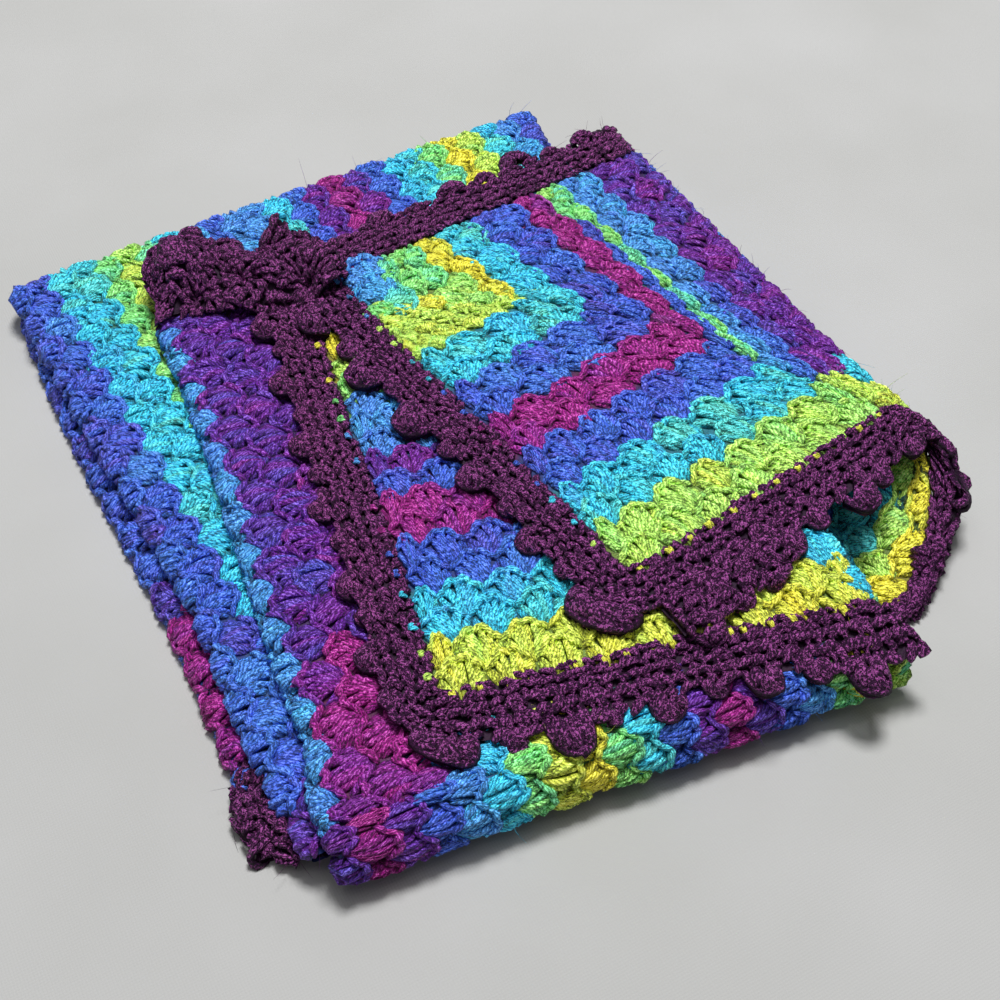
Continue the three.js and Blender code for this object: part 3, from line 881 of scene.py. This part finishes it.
# How far from the left each row begins, and its dye.
SLAB_BANDS = [
    (-7, PERIWINKLE), (5, PERIWINKLE), (16, TURQUOISE), (28, TURQUOISE), (39, GREEN), (50, LIME),
    (61, GREEN), (72, TURQUOISE), (84, LIGHT_BLUE), (96, PERIWINKLE), (108, LIGHT_BLUE),
    (119, LIGHT_BLUE), (131, TURQUOISE), (142, PERIWINKLE), (153, PURPLE), (165, MAGENTA),
    (177, PURPLE), (188, PERIWINKLE), (200, TURQUOISE), (211, TURQUOISE), (222, GREEN),
    (233, YELLOW), (245, LIME), (257, TURQUOISE), (268, LIGHT_BLUE), (280, PERIWINKLE),
]
slab_rows = []
for k, (left, dye) in enumerate(SLAB_BANDS):
    slab_long = side_lengths(SLAB_TOP, left / 295, 0)[1]
    # Past the first rows only their back part is seen.
    starts, counts = [0, 0, 0, 70, 150, slab_long - 100], [17, 17, 17, 14, 10, 5]
    front, count = starts[min(k, 5)], counts[min(k, 5)]

    def slab_dye(share):
        """The front half is a deeper blue, and its very end purple."""
        if k < 2 and share < 0.08:
            return PURPLE
        if k == 1 and chance.random() < 0.4:
            return (PERIWINKLE + LIGHT_BLUE) / 2
        return PERIWINKLE if k < 3 and share < 0.3 else dye

    edges, ends = (left, left + SLAB_ROW), (front, slab_long + 4)
    slab_rows += row_back(SLAB_TOP, edges, ends, count, k % 2, slab_dye, puff=1.2)
# Under its left side a purple row shows as a thin line.
slab_rows += row_back(SLAB_TOP, (-7, -14), (0, 190), 9, 0, (PURPLE + MAGENTA) / 2, puff=0.7)
slab_stitches = lay_clusters("slab_clusters", SLAB_TOP, slab_rows)


# ---------------------------------------------------------------- the wrap's stitches
# The top layer turned down round the right side and under the stack, and open in front as a
# mouth. The same clusters: outside, the rows follow the fold; inside, the mouth's edge.

WRAP_ROW, MOUTH_ROW = 10.5, 8.5
wrap_rows = []
for k, dye in enumerate([PURPLE, PERIWINKLE, LIGHT_BLUE, TURQUOISE, GREEN]):

    def wrap_dye(share):
        """Its front ends carry on the stripes of the top layer's front."""
        return LIME if share < 0.07 else TURQUOISE if share < 0.17 else dye

    edges, ends = (-WRAP_ROW * k, -WRAP_ROW * (k + 1)), (0, side_lengths(TOP, 1, 0)[1])
    wrap_rows += row_back(TOP, edges, ends, 11, k % 2, wrap_dye, side="right")
wrap_stitches = lay_clusters("wrap_clusters", TOP, wrap_rows)

mouth_rows = []
for k, dye in enumerate([YELLOW, LIME, TURQUOISE, TURQUOISE, PERIWINKLE, PERIWINKLE]):
    edges = (MOUTH_ROW * k, MOUTH_ROW * (k + 1))
    mouth_rows += row_across(TOP, (4, -76), edges, 7, k % 2, dye, side="right", puff=0.8)
mouth_stitches = lay_clusters("mouth_clusters", TOP, mouth_rows, inside=True)


# ---------------------------------------------------------------- the lowest layers' stitches
# The base and its cover, folded together along the left, in the same clusters. The weight of
# the stack presses them out from under the slab in puffs.

low_rows = []
for k, (left, right) in enumerate([(-15, -6), (-6, 5), (5, 16)]):

    def low_dye(share):
        """A magenta stretch near the front, in periwinkle that varies a little."""
        if k and 0.03 < share < 0.33:
            return MAGENTA
        return PERIWINKLE - 0.05 * chance.random()

    low_rows += row_back(COVER, (right, left), (4, 300), 15, k % 2, low_dye)
low_stitches = lay_clusters("low_fold_clusters", COVER, low_rows)


# ---------------------------------------------------------------- the stitches deep in the mouth
# The same clusters on the base, up the wrap and round the folds of the layers beside it.
# Little light gets in there, so they are made in fewer strands.

base_rows, inner_rows = [], []
for k, dye in enumerate([YELLOW, LIME, TURQUOISE, TURQUOISE, PERIWINKLE, PERIWINKLE, MAGENTA, MAGENTA]):
    edges = (12 * k, 12 * (k + 1))
    base_rows += row_across(BASE, (25, 0), edges, 1, 0, dye, side="right", puff=0.6)
for k, dye in enumerate([MAGENTA, MAGENTA, PURPLE]):
    edges = (51 + 10 * k, 51 + 10 * (k + 1))
    inner_rows += row_across(TOP, (-12, -72), edges, 3, 0, dye, side="right", puff=0.8)
deep_pieces = [
    lay_clusters("mouth_base_clusters", BASE, base_rows, FLAT_CLUSTERS),
    lay_clusters("wrap_inner_clusters", TOP, inner_rows, FLAT_CLUSTERS, inside=True),
]
for name, layer, dye in (
    ("slab_fold_clusters", SLAB, LIGHT_BLUE),
    ("roll_fold_clusters", ROLL_IN, PURPLE),
    ("flap_fold_clusters", FLAP, TURQUOISE),
):
    fold_rows = row_back(layer, (4, -8), (2, 92), 5, 0, dye, side="right", puff=0.7)
    deep_pieces.append(lay_clusters(name, layer, fold_rows, FLAT_CLUSTERS))


# ---------------------------------------------------------------- the plum edging
# Plum worsted acrylic worked on to the cloth's free edges: four rounds of single crochet, the
# last with picots 40 mm apart. It shows in three stretches: the top layer's, round the wrap
# and on to the base; the flap's; and the roll's, which stands up in a ruffle.

EDGING_GAP = 0.6  # between the cloth's edge and the first round
FOLD_GAP = 1.8  # the same where it goes round a fold
EDGING_PLAIN = 20.0  # its width without the picots
EDGING_PICOT = 8.0  # how far they reach past that
PICOT_SPACING = 40.0
STIFF_TO = 8.0  # the inner part of its width, which doesn't droop


def station(layer, side, share):
    """Places along a layer's side: the edge itself, the way out from it, and no droop."""
    share = np.asarray(share, float)
    one, nil = np.ones_like(share), np.zeros_like(share)
    ends = {
        "front": ((share, one), (share, nil)),
        "back": ((share, nil), (share, one)),
        "left": ((one, share), (nil, share)),
        "right": ((nil, share), (one, share)),
    }[side]
    inside, edge = (lay(layer, *end) for end in ends)
    out = edge - inside
    out[..., 2] = 0
    return [edge, unit(out), np.zeros_like(edge)]


def along_side(layer, side, start, end):
    """Stations every 8 mm or less along a side, between two shares of it."""
    ends = station(layer, side, [start, end])[0]
    steps = math.ceil(np.linalg.norm(ends[1] - ends[0]) / 8)
    return station(layer, side, np.linspace(start, end, steps + 1))


def round_corner(before, after):
    """Three stations in a fan round the corner between two sides."""
    share = (np.arange(1, 4) / 4)[:, None]
    out = unit(before[1][-1] * (1 - share) + after[1][0] * share)
    at = np.repeat(before[0][-1:], 3, axis=0)
    return [at, out, np.zeros_like(at)]


def round_fold(below, above, across, edge, inside, outward, bulges, steps):
    """Stations round the edge of a fold between two layers."""
    at, further_in = (
        half_turn(*(lay(layer, across, [deep]) for layer in (below, above)), outward, bulge, steps)[:, 0]
        for deep, bulge in zip((edge, inside), bulges)
    )
    out = unit(at - further_in)
    return [at + out * FOLD_GAP, out, np.zeros_like(at)]


def joined(*runs):
    """Runs of stations, one after another."""
    return [np.concatenate([run[k] for run in runs]) for k in range(3)]


def smooth_share(value, low, high):
    """How far a value is from low to high, eased at both ends."""
    share = np.clip((value - low) / (high - low), 0, 1)
    return share * share * (3 - 2 * share)


class Edging:
    """A stretch of edging, from its stations: at is the cloth's edge, out the way out from it,
    and push how far the outer rounds are moved from there."""

    def __init__(self, at, out, push):
        self.at, self.out, self.push = at, out, push
        middle = at + out * EDGING_PLAIN / 2
        steps = np.linalg.norm(np.diff(middle, axis=0), axis=1)
        self.travelled = np.concatenate([[0], np.cumsum(steps)])
        self.length = self.travelled[-1]

    def lie(self, along, reach):
        """Where it lies at a distance along it and a reach out from the cloth."""

        def blend(of):
            return np.stack([np.interp(along, self.travelled, of[:, k]) for k in range(3)], -1)

        reach = reach[..., None]
        pushed = smooth_share(reach, STIFF_TO, EDGING_PLAIN + EDGING_PICOT)
        return blend(self.at) + blend(self.out) * reach + blend(self.push) * pushed

    def stand(self, along, reach, height):
        """The same place, at a height off the edging's face."""
        near = 0.8  # to either side, to find which way it faces
        run = self.lie(along + near, reach) - self.lie(along - near, reach)
        rise = self.lie(along, reach + near) - self.lie(along, reach - near)
        return self.lie(along, reach) + unit(np.cross(rise, run)) * height[..., None]


leftward, rightward = np.array([-1.0, 0, 0]), np.array([1.0, 0, 0])
back, left, front = (
    along_side(TOP, side, start, end)
    for side, start, end in (("back", 1, 0), ("left", 1, 0), ("front", 0, 1))
)
wrap_back, wrap_front = (
    round_fold(BASE, TOP, 1, edge, inside, rightward, [wrap_bulge(edge), wrap_bulge(inside)], 8)
    for edge, inside in ((1, 12 / 13), (0, 1 / 13))
)
# Its outer rounds ease: out in a scallop along the top layer's front, and in under the wrap's
# mouth until the mouth's lower side is tucked away.
share = np.linspace(0, 1, len(front[0]))[:, None]
front[2] = front[2] + front[1] * 7 * smooth_share(np.minimum(share, 1 - share), 0, 0.2)
share = (np.arange(1, 8) / 8)[:, None]
wrap_front[2] = rightward * -6 * np.sin(np.pi * share) - wrap_front[1] * 25 * (
    1 - smooth_share(share, 0.28, 0.62)
)
base_front = along_side(BASE, "front", 1, 0)
from_wrap = np.linalg.norm(base_front[0] - base_front[0][0], axis=1, keepdims=True)
base_front[2] = base_front[1] * -24 * (1 - smooth_share(from_wrap, 15, 70))
cover_front = along_side(COVER, "front", 0, 0.96)
corner = round_fold(BASE, COVER, 0, 0, 1 / 13, leftward, [FOLD_REACH, FOLD_REACH], 4)
corner[2] = corner[2] + leftward * 8
base_long, cover_long = (
    np.linalg.norm(run[0][-1] - run[0][0]) for run in (base_front, cover_front)
)
top_edging = Edging(*joined(
    [part[2:] for part in wrap_back],
    back,
    round_corner(back, left),
    left,
    round_corner(left, front),
    front,
    [part[::-1] for part in wrap_front],
    base_front,
    corner,
    cover_front,
))
back, left, front = (
    along_side(FLAP, side, start, end)
    for side, start, end in (("back", 0.9, 0), ("left", 1, 0), ("front", 0, 1))
)
# Its front droops over the roll, most towards the right.
share = np.linspace(0, 1, len(front[0]))[:, None]
front[2] = np.array([0, -6, -0.8]) * np.sin(np.pi * np.minimum(share / 0.5, 1))
droop = 3 + 10 * smooth_share(share, 0.65, 1)
front[2] = front[2] + front[1] * droop + np.array([0, 0, -0.55]) * droop
# Its front right end fans out a little over the roll's nose.
turn = np.arange(1, 4)[:, None] / 3
fan = unit(front[1][-1] + turn * np.array([0.35, 0, 0]))
fan_end = [front[0][-1] + turn * np.array([3.0, 0, -0.5]), fan, fan * 12 + np.array([0, 0, -7.0])]
flap_edging = Edging(*joined(
    back, round_corner(back, left), left, round_corner(left, front), front, fan_end
))
# The ruffle stands upright, and lies down at its left end, under the crumple.
ruffle = along_side(ROLL_OUT, "back", 1, 0)
upright = 1 - smooth_share(np.linspace(1, 0, len(ruffle[0])), 0.12, 0.24)
ruffle[2][:, 2] = 24 * upright
ruffle_edging = Edging(*ruffle)


def plum_acrylic(name, plied):
    # The same worsted in dark plum. Its colours run from a painted shade, nearly black, in the
    # grooves between the plies and deep in the fabric, to a painted highlight on the plies' crests,
    # with painted glinting spots here and there. A ply crosses each 1.1 mm of strand (drawn at 1.8
    # so that they show). The ground, which is only seen deep between the stitches, is drawn without
    # plies and painted nearly black, as shade.
    material, tree, shader = new_material(name)
    place = add(tree, "ShaderNodeTexCoord").outputs["Object"]
    height = add(
        tree,
        "ShaderNodeTexNoise",
        {"Vector": place, "Scale": 1100.0, "Detail": 3.0, "Roughness": 0.7},
    ).outputs[0]
    # The ground's tone stays low, as painted shade; the plied yarn's runs from painted shade to painted
    # highlight.
    tones = {0: height, 1: 0.3, 2: 0.7, 3: 0.03, 4: 0.2}
    if plied:
        _, height = twisted_plies(tree, height, 1.8, 3.2, (0.0, 0.5), 0.6)
        tones = {0: height, 1: 0.36, 2: 1.35, 3: 0.0, 4: 0.86}
    tone = add(tree, "ShaderNodeMapRange", tones).outputs[0]
    if plied:
        tone = painted_glints_and_shade(tree, place, tone, 700.0, (0.4, 0.68, 1.8), (0.08, 1.17))
    colour = add(tree, "ShaderNodeValToRGB", {0: tone})
    # Painted shade at the dark end, the plum dye in the middle, a painted highlight at the pale end.
    colour_steps(colour, [(0.0, "#120414"), (0.55, "#521154"), (1.0, "#d26ac6")])
    bump = add(tree, "ShaderNodeBump", {"Height": height, "Strength": 0.8, "Distance": 0.0006})
    plug(tree, shader, {"Base Color": colour.outputs[0], "Normal": bump.outputs[0]})
    plug(tree, shader, {"Roughness": 0.55, "IOR": 1.49, "Specular IOR Level": 0.3})
    return material


PLUM_YARN = 1.5  # radius of the plum yarn, pulled up thick


def single_crochet():
    """One stitch, 5.6 mm wide and 5 mm high, lying in its row as a braided V, on both faces."""
    strands = []
    t = np.linspace(-1, 1, 6)
    for side in (-1, 1):
        x = 3.0 * t + chance.normal(0, 0.25)
        y = 2.5 + side * (1.9 - 0.75 * t) + chance.normal(0, 0.25)
        z = 0.9 + 1.3 * np.cos(1.6 * t) + 0.25 * side + chance.normal(0, 0.25)
        radius = PLUM_YARN * np.array([0.6, 0.95, 1.1, 1.1, 0.95, 0.6])
        strands.append(strand(x, y, z, radius))
    # The post between its two ends, and a strand across its back.
    t = np.linspace(0, 1, 5)
    x, y = chance.normal(0, 0.5) + 1.2 * t, -1.4 + 4.4 * t
    z = 0.2 + 1.5 * np.sin(np.pi * (0.2 + 0.6 * t))
    strands.append(strand(x, y, z, 1.45 * np.array([0.6, 1, 1.05, 1, 0.7])))
    t = np.linspace(-1, 1, 5)
    x, y = 3.2 * t, 2.4 + 1.6 * t * (1 if chance.random() < 0.5 else -1)
    z = -1.1 - 0.7 * np.cos(1.6 * t)
    strands.append(strand(x, y, z, PLUM_YARN * np.array([0.6, 1, 1.1, 1, 0.6]), 4))
    return bundle(strands)


def picot_knob():
    """A picot: three chains closed into a round knob, 13 mm wide and 9 mm proud."""
    strands = []
    for k in range(9):
        way = k / 8 * np.pi + chance.normal(0, 0.1)
        t = np.linspace(0, 1, 7)
        out = 1.2 + 4.6 * t
        x = out * np.cos(way) * 1.05
        y = 0.5 + out * np.sin(way) * 1.1
        z = -0.4 + 4.6 * np.sin(np.pi * (0.30 + 0.62 * t)) + chance.normal(0, 0.3)
        z = z * (1 if k % 3 else 0.8)
        radius = 1.6 * np.array([0.7, 1, 1.05, 1.05, 1, 0.95, 0.7])
        strands.append(strand(x, y, z, radius))
    # Two half rings of yarn run round the knob's outer side.
    t = np.linspace(-0.1, 1.1, 14) * np.pi
    for level, reach in ((0.9, 6.0), (-1.4, 5.4)):
        x, y = reach * np.cos(t), 0.2 + reach * 1.15 * np.sin(t)
        z = level + 0.7 * np.sin(t * 4 + chance.uniform(0, 6))
        strands.append(strand(x, y, z, 1.6, 6))
    return bundle(strands)


SINGLES = [single_crochet() for _ in range(6)]
PICOTS = [picot_knob() for _ in range(4)]
ROUND_HIGH, ROUND_APART = 5.0, 4.9  # each round sinks a little into the last
STITCH_APART = 5.4
END_GAP = 0.9  # that the stitches keep from the edging's ends
plum = plum_acrylic("plum_acrylic_worsted", plied=True)
plum_ground = plum_acrylic("plum_ground_painted_shade", plied=False)


def spaced(edging, reach, spacing, offset):
    """Places along the edging that lie a real spacing apart at a reach, and its stretch."""
    fine_step = 1.5
    fine = np.arange(0, edging.length, fine_step)
    line = edging.lie(fine, np.full(len(fine), reach))
    steps = np.linalg.norm(np.diff(line, axis=0), axis=1)
    real = np.concatenate([[0], np.cumsum(steps)])
    n = round(real[-1] / spacing)
    along = np.interp((np.arange(n) + offset) / n * real[-1], real, fine)
    stretch = np.interp(along, fine[1:], steps / fine_step)
    return along, np.clip(stretch, 0.5, 3)


def outside(places, stretches):
    """Which places are in none of the stretches, each from one distance along to another."""
    kept = np.ones(len(places), dtype=bool)
    for start, end in stretches:
        kept &= (places <= start) | (places >= end)
    return kept


def lay_edging(name, edging, node, rounds=4, covered=(), plain=(), both=(0, 0), tousled=0.24):
    """Rounds of stitches and picots along an edging. In covered stretches only its outer round
    is made; in plain ones, no picots; and between both, where its two faces are seen, the
    stitches are made on both. tousled is how far they are turned about."""
    stitches = Gathered()

    def place(templates, along, reach, sizes, stretch, side=1):
        """Lays a template at each place, on the upper face or, with side -1, the under one."""
        kind = chance.integers(0, len(templates), len(along))
        for k, (p, f, uv, _) in enumerate(templates):
            mine = kind == k
            n = int(mine.sum())
            if not n:
                continue
            turn = chance.normal(0, tousled, (n, 1))
            size = sizes[mine][:, None] * (1 + 0.1 * chance.normal(0, 1, (n, 1)))
            x = (p[None, :, 0] * np.cos(turn) - p[None, :, 1] * np.sin(turn)) * size
            y = (p[None, :, 0] * np.sin(turn) + p[None, :, 1] * np.cos(turn)) * size
            z = p[None, :, 2] * size + chance.normal(0, 0.3, (n, 1)) + 0 * x
            s = along[mine][:, None] + x / stretch[mine][:, None]
            s = np.clip(s, END_GAP, edging.length - END_GAP)
            placed = edging.stand(s, reach[mine][:, None] + y, z * side)
            # How far out of the fabric each point lies, which the material paints as shade, darker deep
            # down.
            height_for_shade = np.clip(np.abs(p[:, 2]) / 2.8, 0, 1)
            stitches.put(placed, f[:, ::side], uv[:, ::side], 0.0, height_for_shade)

    def place_both(templates, along, reach, sizes, stretch):
        place(templates, along, reach, sizes, stretch)
        turned = (along > both[0]) & (along < both[1])
        if turned.any():
            place(templates, along[turned], reach[turned], sizes[turned], stretch[turned], -1)

    for row in range(rounds):
        middle = EDGING_GAP + 2.0 + ROUND_HIGH * row
        along, stretch = spaced(edging, middle, STITCH_APART, 0.25 + 0.5 * (row % 2))
        if row < rounds - 1:
            kept = outside(along, covered)
            along, stretch = along[kept], stretch[kept]
        n = len(along)
        along = along + chance.normal(0, 0.5, n)
        reach = ROUND_APART * row + chance.normal(0, 0.45, n)
        place_both(SINGLES, along, reach, np.ones(n), stretch)
    # The big picots stand where the edging is longest, with smaller ones between them.
    big = np.arange(PICOT_SPACING / 4, edging.length - 4, PICOT_SPACING)
    small = big[:-1] + PICOT_SPACING / 2
    edge = ROUND_HIGH * rounds
    for knobs, reach, size in ((big, edge, 1.12), (small, edge - 2.5, 0.8)):
        knobs = knobs[outside(knobs, plain)]
        n = len(knobs)
        knobs, reaches = knobs + chance.normal(0, 1.5, n), reach + chance.normal(0, 0.8, n)
        sizes = size * chance.uniform(0.88, 1.1, n)
        place_both(PICOTS, knobs, reaches, sizes, np.ones(n))
    # The ground that shows deep between the stitches, in the plum ground painted dark as shade.
    rows = np.arange(0, edging.length, 2.5)
    reaches = np.linspace(0, edge - EDGING_GAP, 2 * rounds)
    s, r = np.meshgrid(rows, reaches, indexing="ij")
    pieces = [
        mesh_piece(name + "_ground", *grid_sheet(edging.lie(s, r)), 0.0, 0.0, plum_ground),
        mesh_piece(name + "_stitches", *stitches.all(), plum),
    ]
    for piece in pieces:
        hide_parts(node)
    return pieces


# The roll covers most of the base's and its cover's edging; their left corner is plain.
top_end = top_edging.length
left_corner = top_end - cover_long
wrap_end = left_corner - base_long
edging_pieces = lay_edging(
    "plum_edging_top",
    top_edging,
    "edging_top",
    covered=(
        (left_corner - 0.85 * base_long, left_corner - 0.24 * base_long),
        (left_corner + 0.2 * cover_long, top_end),
    ),
    plain=((wrap_end - 34, wrap_end + 60), (left_corner - 0.24 * base_long, top_end)),
    both=(wrap_end - 85, wrap_end + 10),
)
edging_pieces += lay_edging("plum_edging_flap", flap_edging, "edging_flap", covered=((0, 105),))
edging_pieces += lay_edging("plum_edging_ruffle", ruffle_edging, "edging_ruffle")


# ---------------------------------------------------------------- the crumple
# Where the ruffle ends at the roll's back left corner, the plum edging is gathered up into
# soft folds. It is the same single crochet and picots, over twice the width.


class Crumple(Edging):
    """The back left corner's edging. Its hollows and its standing points are given by their
    place along and out, radius and height."""

    PITS = [(18, 10, 5.0, -9), (50, 16, 5.0, -10), (76, 8, 4.0, -8), (38, 34, 5.0, -6)]
    PEAKS = [(22, 46, 4.5, 15.5), (50, 42, 7.0, 6), (70, 44, 6.0, 9), (90, 44, 7.0, 8), (84, 20, 8.0, 4)]

    def __init__(self):
        self.length = 98.0

    def lie(self, along, reach):
        # It runs left along the roll's back edge, and its rounds reach back from there.
        x = 121 - 0.92 * along + 2.5 * np.sin(reach / 7) + 0.26 * reach * along / 98
        y = 262 + 0.20 * along - 7 * np.sin(along / 16) + 0.86 * reach
        # They arch up in slow waves, and highest at the right end and along a slanting ridge.
        rise = np.sin(np.pi * np.clip(reach / 50 + 0.04, 0, 1))
        ends = smooth_share(self.length - along, 0, 22) * (0.55 + 0.45 * smooth_share(along, 0, 30))
        z = 29.5 + 14.5 * rise * ends + 2.6 * np.sin(along / 6.5 + reach / 11) * ends
        z = z + 7 * smooth_share(30 - along, 0, 30)
        z = z + 6 * np.exp(-(((along - 8 - 0.32 * reach) / 7) ** 2))
        for at, out, radius, by in self.PITS + self.PEAKS:
            near = ((along - at) ** 2 + (reach - out) ** 2) / radius**2
            z = z + by * np.exp(-near / 2)
        return np.stack([x, y, z], -1)


edging_pieces += lay_edging("plum_crumple", Crumple(), "edging_ruffle", rounds=9, tousled=0.7)


# ---------------------------------------------------------------- the low corner
# The edging of the base's front left corner, which bulges out from under the stack. It is the
# same plum single crochet, without picots.


class LowCorner(Edging):
    """A round bulge, 47 mm long from its back to its front end."""

    def __init__(self):
        self.length = 47.0

    def lie(self, along, reach):
        wide = np.interp(along, [0, 10, 22, 35, 42, 47], [13, 18, 21, 20, 14, 5]) / 24
        fall = np.clip((reach + 2) / 26, 0, 1) ** 1.6
        x = -6 - reach * wide + 1.5 * np.sin(along / 5)
        y = 58 - along + 0.1 * reach
        z = 2.4 + (8.5 - 3 * smooth_share(along, 25, 47)) * np.cos(np.pi / 2 * fall)
        return np.stack([x, y, z], -1)


low_corner = LowCorner()
edging_pieces += lay_edging(
    "plum_low_corner",
    low_corner,
    "edging_top",
    rounds=5,
    plain=((0, low_corner.length),),
    tousled=0.6,
)


# ---------------------------------------------------------------- the gather
# In front of the top layer's left corner its plum edging hangs on over the flap's. The spare
# length is gathered there, three rounds wide.

share = np.linspace(0.0, 0.44, 12)
gather = station(TOP, "front", share)
gather[0] = gather[0] + gather[1] * 22 + np.array([0, 0, 1.5])
gather[2] = np.array([0, 0, -5.0]) - gather[1] * (10 * smooth_share(share, 0.2, 0.44))[:, None]
edging_pieces += lay_edging("plum_gather", Edging(*gather), "edging_top", rounds=3, tousled=0.7)


# ---------------------------------------------------------------- the beads along the edging
# Where the edging's first round goes into the striped cloth, a bead of the cloth's own yarn
# shows between the plum stitches about every 13 mm, and a longer point of it along the
# flap's front.


def bead(long):
    """Two short strands side by side, which stick out from the cloth."""
    t = np.linspace(-1, 1, 6)
    strands = []
    for side in (-0.5, 0.5):
        x = side * (1.6 - 0.7 * t)
        y = long * t
        z = 1.6 + 1.3 * np.cos(1.5 * t)
        strands.append(strand(x, y, z, 1.15 * np.array([0.8, 1, 1, 0.95, 0.8, 0.5])))
    return bundle(strands)


def lay_beads(name, layer, side, start, end, spacing, long, dye_of):
    """Beads along a layer's side, most of the places that lie a spacing apart."""
    p, f, uv, _ = bead(long)
    run = Edging(*along_side(layer, side, start, end))
    n = round(run.length / spacing)
    along = (np.arange(n) + 0.5) / n * run.length + chance.normal(0, 1.2, n)
    share = start + (end - start) * along / run.length
    keep = chance.random(n) < 0.85
    along, share = along[keep], share[keep]
    size = chance.uniform(0.6, 1.0, len(along))[:, None]
    placed = run.stand(
        along[:, None] + p[None, :, 0] * size, 2.4 + p[None, :, 1] * size, p[None, :, 2] + 0 * size
    )
    beads = Gathered()
    beads.put(placed, f, uv, np.array([dye_of(s) for s in share])[:, None])
    piece = mesh_piece(name, *beads.all(), 0.9, yarn)
    return piece


def dye_beside(layer):
    return lambda share: float(dye_at(layer, np.array(0.03), np.array(share)))


bead_pieces = [
    lay_beads("beads_top_front", TOP, "front", 0.0, 1.0, 12.5, 2.3, lambda s: YELLOW - 0.04),
    lay_beads("beads_top_left", TOP, "left", 1.0, 0.0, 13.0, 2.0, dye_beside(TOP)),
    lay_beads("beads_flap_left", FLAP, "left", 1.0, 0.0, 13.0, 2.0, dye_beside(FLAP)),
    lay_beads("beads_flap_front", FLAP, "front", 0.0, 1.0, 10.0, 3.2, lambda s: YELLOW - 0.03),
]


# ---------------------------------------------------------------- the loose fibres
# Worsted acrylic is fuzzy: fibre ends 2.5 to 7.5 mm long work loose from the spun yarn and
# stand off it. Few are made, and they are drawn 0.2 mm thick so that they show.

FIBRE = np.array([0.1, 0.09, 0.07, 0.03])  # its radius from root to tip


def loose_fibres(name, pieces, count, material):
    """Fibre ends at random points of the pieces, none of them facing the table."""
    fibres = Gathered()
    lowest, highest = 4, 46  # the heights between which they start
    for piece in pieces:
        mesh = piece.data
        n = len(mesh.vertices)
        at, away, dye = np.zeros(n * 3), np.zeros(n * 3), np.zeros(n)
        mesh.vertices.foreach_get("co", at)
        mesh.vertices.foreach_get("normal", away)
        mesh.attributes["dye"].data.foreach_get("value", dye)
        at, away = at.reshape(-1, 3) * 1000 - CENTRING, away.reshape(-1, 3)
        outer = (away[:, 2] > -0.2) & (at[:, 2] > lowest) & (at[:, 2] < highest)
        for k in chance.choice(np.flatnonzero(outer), count // len(pieces)):
            way = unit(away[k] + chance.normal(0, 0.6, 3))
            long = chance.uniform(2.5, 7.5)
            bend = chance.normal(0, 0.5, 3)
            t = np.linspace(0, 1, 4)[:, None]
            path = at[k] + (way * t + bend * t**2) * long
            p, f, uv = strand(*path.T, FIBRE, 3)
            fibres.put(p[None], f, uv, dye[k])
    made = mesh_piece(name, *fibres.all(), 1.0, material)
    return made


outer_stitches = [top_stitches, flap_stitches, roll_stitches, slab_stitches, wrap_stitches]
plum_stitches = [piece for piece in edging_pieces if "stitches" in piece.name]
fibre_pieces = [
    loose_fibres("striped_loose_fibres", outer_stitches, 1300, yarn),
    loose_fibres("plum_loose_fibres", plum_stitches, 900, plum),
]
